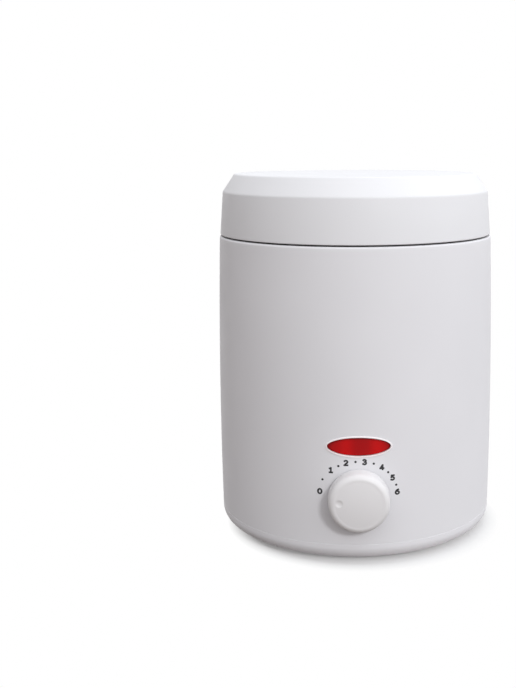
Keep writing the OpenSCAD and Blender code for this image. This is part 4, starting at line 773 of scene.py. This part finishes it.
def lens_painted_light():
    """Group for the lens: Tone is a slow wave across the lens with a finer one on it, painted reflections in
    lighter and darker bands, less painted shade that grows towards the oval's border. Grain and Haze are
    faint noise."""
    group, start, end = group_of("lens_painted_light", {"Vector": "NodeSocketVector"}, ["Grain", "Tone", "Haze"])
    at = {"Vector": start.outputs["Vector"]}
    point_x = add(group, "ShaderNodeSeparateXYZ", {0: start.outputs["Vector"]}).outputs["X"]
    waves = []
    for turns, shift in ((546.0, 4.22), (1250.0, 0.4)):
        phase = add(group, "ShaderNodeMath", {0: point_x, 1: turns, 2: shift}, operation="MULTIPLY_ADD")
        waves.append(add(group, "ShaderNodeMath", {0: phase.outputs[0]}, operation="SINE").outputs[0])
    both = add(group, "ShaderNodeMath", {0: waves[1], 1: 0.2, 2: waves[0]}, operation="MULTIPLY_ADD")
    # Painted reflections: the two waves become lighter and darker bands in the lens's colour.
    bands = add(group, "ShaderNodeMapRange", {"Value": both.outputs[0]}, From_Min=-1.3, From_Max=1.3,
                To_Min=0.44, To_Max=0.7)
    share = oval_share(group, start.outputs["Vector"], lens_z - 0.3, face_w, face_h)
    # Painted shade: the tone drops by up to 0.2 towards the oval's border.
    border = add(group, "ShaderNodeMapRange", {"Value": share}, From_Min=0.84, From_Max=1.0, To_Max=0.2)
    both = {0: bands.outputs["Result"], 1: border.outputs["Result"]}
    tone = add(group, "ShaderNodeMath", both, operation="SUBTRACT")
    haze = add(group, "ShaderNodeTexNoise", at, Scale=300.0, Detail=3.0)
    group.links.new(haze.outputs["Fac"], end.inputs["Grain"])
    group.links.new(tone.outputs[0], end.inputs["Tone"])
    group.links.new(haze.outputs["Fac"], end.inputs["Haze"])
    return group


red_acrylic = finish("red_acrylic", lens_painted_light(), {}, (0.24, 0.004, 0.006), (0.56, 0.006, 0.007), 0.22,
                     0.003, Specular_IOR_Level=0.12)
dress(lens, red_acrylic, "root", "red_lens", "indicator_lens")

# The lamp holder is a trough behind the lens that carries a small neon bulb: a glass tube with two rod
# electrodes. A resistor in its sleeve is soldered into one of its leads.
cream = moulded("cream_plastic", (0.70, 0.64, 0.52), (0.77, 0.71, 0.60), 0.45)
paint(cream, "lamp_holder", "terminal_block")
glass = moulded("lamp_glass", (0.95, 0.93, 0.91), (1.0, 0.98, 0.97), 0.06, 0.004, 300.0,
                Transmission_Weight=1.0, IOR=1.47)
paint(glass, "neon_bulb")
nickel = sheet_metal("nickel_rods", (0.42, 0.40, 0.37), (0.52, 0.50, 0.46), 0.4, (200.0, 4000.0, 4000.0))
paint(nickel, "lamp_electrodes")
sleeve = moulded("resistor_body", (0.36, 0.24, 0.13), (0.46, 0.32, 0.19), 0.5, 0.02, 2500.0)
paint(sleeve, "lamp_resistor")

# The cord gland is a flanged sleeve of black nylon through the rear wall, held by a nut inside. Below it a
# bridge with two screws clamps the cord to the pan's posts.
cord_r, thread_r, collar_r = 3.5, 5.3, 7
gland_in, gland_out = 44.54, wall_radius(gland_z) + 0.4
collar_end, nose_end = gland_out + 1.8, gland_out + 3.6
sleeve_outline = rounded(
    (cord_r, gland_in, 0), (thread_r, gland_in, 0.3), (thread_r, gland_out, 0), (collar_r, gland_out, 0.2),
    (collar_r, collar_end, 0.5), (6.3, collar_end, 0.1), (4.7, nose_end, 0.4), (cord_r, nose_end, 0.3),
    (cord_r, 48, 0))
gland = surface("gland_sleeve", turned(to_front(revolve(sleeve_outline, 96), gland_z), 180), closed=True)
black_nylon = moulded("black_nylon", (0.02, 0.02, 0.021), (0.035, 0.035, 0.036), 0.45, 0.02, 2500.0)
dress(gland, black_nylon, "root", "dark_rubber", "cord_gland")
paint(black_nylon, "gland_nut", "cord_clamp")

# The leads are stranded copper in coloured silicone sleeving: brown and a brown switched lead, blue for
# neutral, green-and-yellow for earth, and thin red ones for the lamp.


def sleeving(name, dark, light):
    """Extruded silicone sleeve: nearly smooth, a little waxy."""
    return moulded(name, dark, light, 0.45, 0.01, 1200.0, Sheen_Weight=0.1)


brown = sleeving("brown_sleeve", (0.11, 0.045, 0.02), (0.15, 0.065, 0.03))
paint(brown, "live_lead", "switched_lead", "element_lead")
paint(sleeving("blue_sleeve", (0.02, 0.07, 0.33), (0.03, 0.10, 0.42)), "neutral_lead")
paint(sleeving("red_sleeve", (0.42, 0.02, 0.02), (0.52, 0.03, 0.03)), "lamp_leads")
earth = sleeving("earth_sleeve", (0.04, 0.24, 0.05), (0.05, 0.30, 0.06))
tree = earth.node_tree
point = tree.nodes["Texture Coordinate"].outputs["Object"]
stripe = add(tree, "ShaderNodeTexWave", {"Vector": point}, Scale=120.0)
band = add(tree, "ShaderNodeMapRange", {"Value": stripe.outputs["Fac"]}, From_Min=0.45, From_Max=0.55)
recolour(earth, band.outputs["Result"], (0.75, 0.60, 0.04))
paint(earth, "earth_lead")

# The warmer stands on a plain white table in front of a white backdrop, which are both the world and the
# floor here. Near the warmer the floor takes its soft shadow, and further out it fades into the white. From
# below it is clear, so that the warmer's underside can be looked at.
floor_mesh = bpy.data.meshes.new("floor")
floor_mesh.from_pydata([(-3, -3, 0), (3, -3, 0), (3, 3, 0), (-3, 3, 0)], [], [(0, 1, 2, 3)])
floor = bpy.data.objects.new("floor", floor_mesh)
bpy.context.scene.collection.objects.link(floor)


def seen_rays(tree):
    """Output that is 1 for what the camera sees, also in a mirror or through glass, and 0 for what only
    gives light to the warmer."""
    ray = add(tree, "ShaderNodeLightPath").outputs
    straight = {0: ray["Is Camera Ray"], 1: ray["Is Glossy Ray"]}
    straight = add(tree, "ShaderNodeMath", straight, operation="MAXIMUM").outputs[0]
    either = {0: straight, 1: ray["Is Transmission Ray"]}
    return add(tree, "ShaderNodeMath", either, operation="MAXIMUM").outputs[0]


table = bpy.data.materials.new("white_table")
table.use_nodes = True
tree = table.node_tree
tree.nodes.remove(tree.nodes["Principled BSDF"])
shadow_centre, shadow_inner, shadow_outer = (0.003, -0.0045, 0), 0.047, 0.0535
seen_white, seen_glow = 0.62, 0.19
seen = seen_rays(tree)
point = add(tree, "ShaderNodeTexCoord").outputs["Object"]
apart = add(tree, "ShaderNodeVectorMath", {0: point, 1: shadow_centre}, operation="SUBTRACT")
distance = add(tree, "ShaderNodeVectorMath", {0: apart.outputs[0]}, operation="LENGTH").outputs["Value"]
far = add(tree, "ShaderNodeMapRange", {"Value": distance}, From_Min=shadow_inner, From_Max=shadow_outer)
bounce = {0: far.outputs["Result"], 6: (0.58, 0.54, 0.53, 1), 7: (0.11, 0.083, 0.07, 1)}
bounce = add(tree, "ShaderNodeMix", bounce, data_type="RGBA")
shade = {0: seen, 6: bounce.outputs[2], 7: (seen_white, seen_white, seen_white, 1)}
shade = add(tree, "ShaderNodeMix", shade, data_type="RGBA")
cloth = add(tree, "ShaderNodeBsdfDiffuse", {"Color": shade.outputs[2]})
glow = add(tree, "ShaderNodeEmission", {"Strength": times(tree, seen, seen_glow)})
near = add(tree, "ShaderNodeAddShader", {0: cloth.outputs[0], 1: glow.outputs[0]})
white = add(tree, "ShaderNodeEmission", {"Strength": seen})
fade = times(tree, far.outputs["Result"], seen)
above = add(tree, "ShaderNodeMixShader", {0: fade, 1: near.outputs[0], 2: white.outputs[0]})
facing = add(tree, "ShaderNodeNewGeometry").outputs["Backfacing"]
clear = add(tree, "ShaderNodeBsdfTransparent")
both_sides = add(tree, "ShaderNodeMixShader", {0: facing, 1: above.outputs[0], 2: clear.outputs[0]})
tree.links.new(both_sides.outputs[0], tree.nodes["Material Output"].inputs["Surface"])
floor_mesh.materials.append(table)

# The world is white where it is seen. Its light is soft, stronger and cooler from the upper right, weaker
# and warmer from the lower left, and never less than none.
side_light, top_light, all_round = 0.45, 0.54, 0.76
world = bpy.data.worlds.new("studio")
bpy.context.scene.world = world
world.use_nodes = True
tree = world.node_tree
seen = seen_rays(tree)
slope = {0: add(tree, "ShaderNodeTexCoord").outputs["Generated"], 1: (side_light, 0, top_light)}
slope = add(tree, "ShaderNodeVectorMath", slope, operation="DOT_PRODUCT")
soft = add(tree, "ShaderNodeMath", {0: slope.outputs["Value"], 1: all_round}, operation="ADD")
soft = add(tree, "ShaderNodeMath", {0: soft.outputs[0], 1: 0.0}, operation="MAXIMUM").outputs[0]
strength = add(tree, "ShaderNodeMix", {0: seen, 2: soft, 3: 1.0}, data_type="FLOAT")
cool = add(tree, "ShaderNodeMapRange", {"Value": soft}, From_Min=0.35, From_Max=1.2)
tint = {0: cool.outputs["Result"], 6: (1.0, 0.945, 0.925, 1), 7: (0.98, 1.0, 1.03, 1)}
tint = add(tree, "ShaderNodeMix", tint, data_type="RGBA")
colour = add(tree, "ShaderNodeMix", {0: seen, 6: tint.outputs[2], 7: (1, 1, 1, 1)}, data_type="RGBA")
tree.links.new(colour.outputs[2], tree.nodes["Background"].inputs["Color"])
tree.links.new(strength.outputs[0], tree.nodes["Background"].inputs["Strength"])

# The key lamp is one small softbox to the right of the camera. It draws the edges of light on the lens, the
# rim and the knob, and the soft shadow beside the knob.


def softbox(name, place, target, size, power):
    """Square lamp that faces a target point, all in metres and watts."""
    lamp = bpy.data.lights.new(name, "AREA")
    lamp.size, lamp.energy = size, power
    holder = bpy.data.objects.new(name, lamp)
    bpy.context.scene.collection.objects.link(holder)
    back = (np.array(place) - target) / np.linalg.norm(np.array(place) - target)
    right = np.cross((0, 0, 1), back)
    right /= np.linalg.norm(right)
    turn = Matrix(np.column_stack([right, np.cross(back, right), back]).tolist()).to_4x4()
    holder.matrix_world = Matrix.Translation(place) @ turn


softbox("key", (0.33, -0.76, 0.45), (0, 0, 0.04), 0.13, 2.5)
bpy.context.scene.view_settings.view_transform = "Standard"
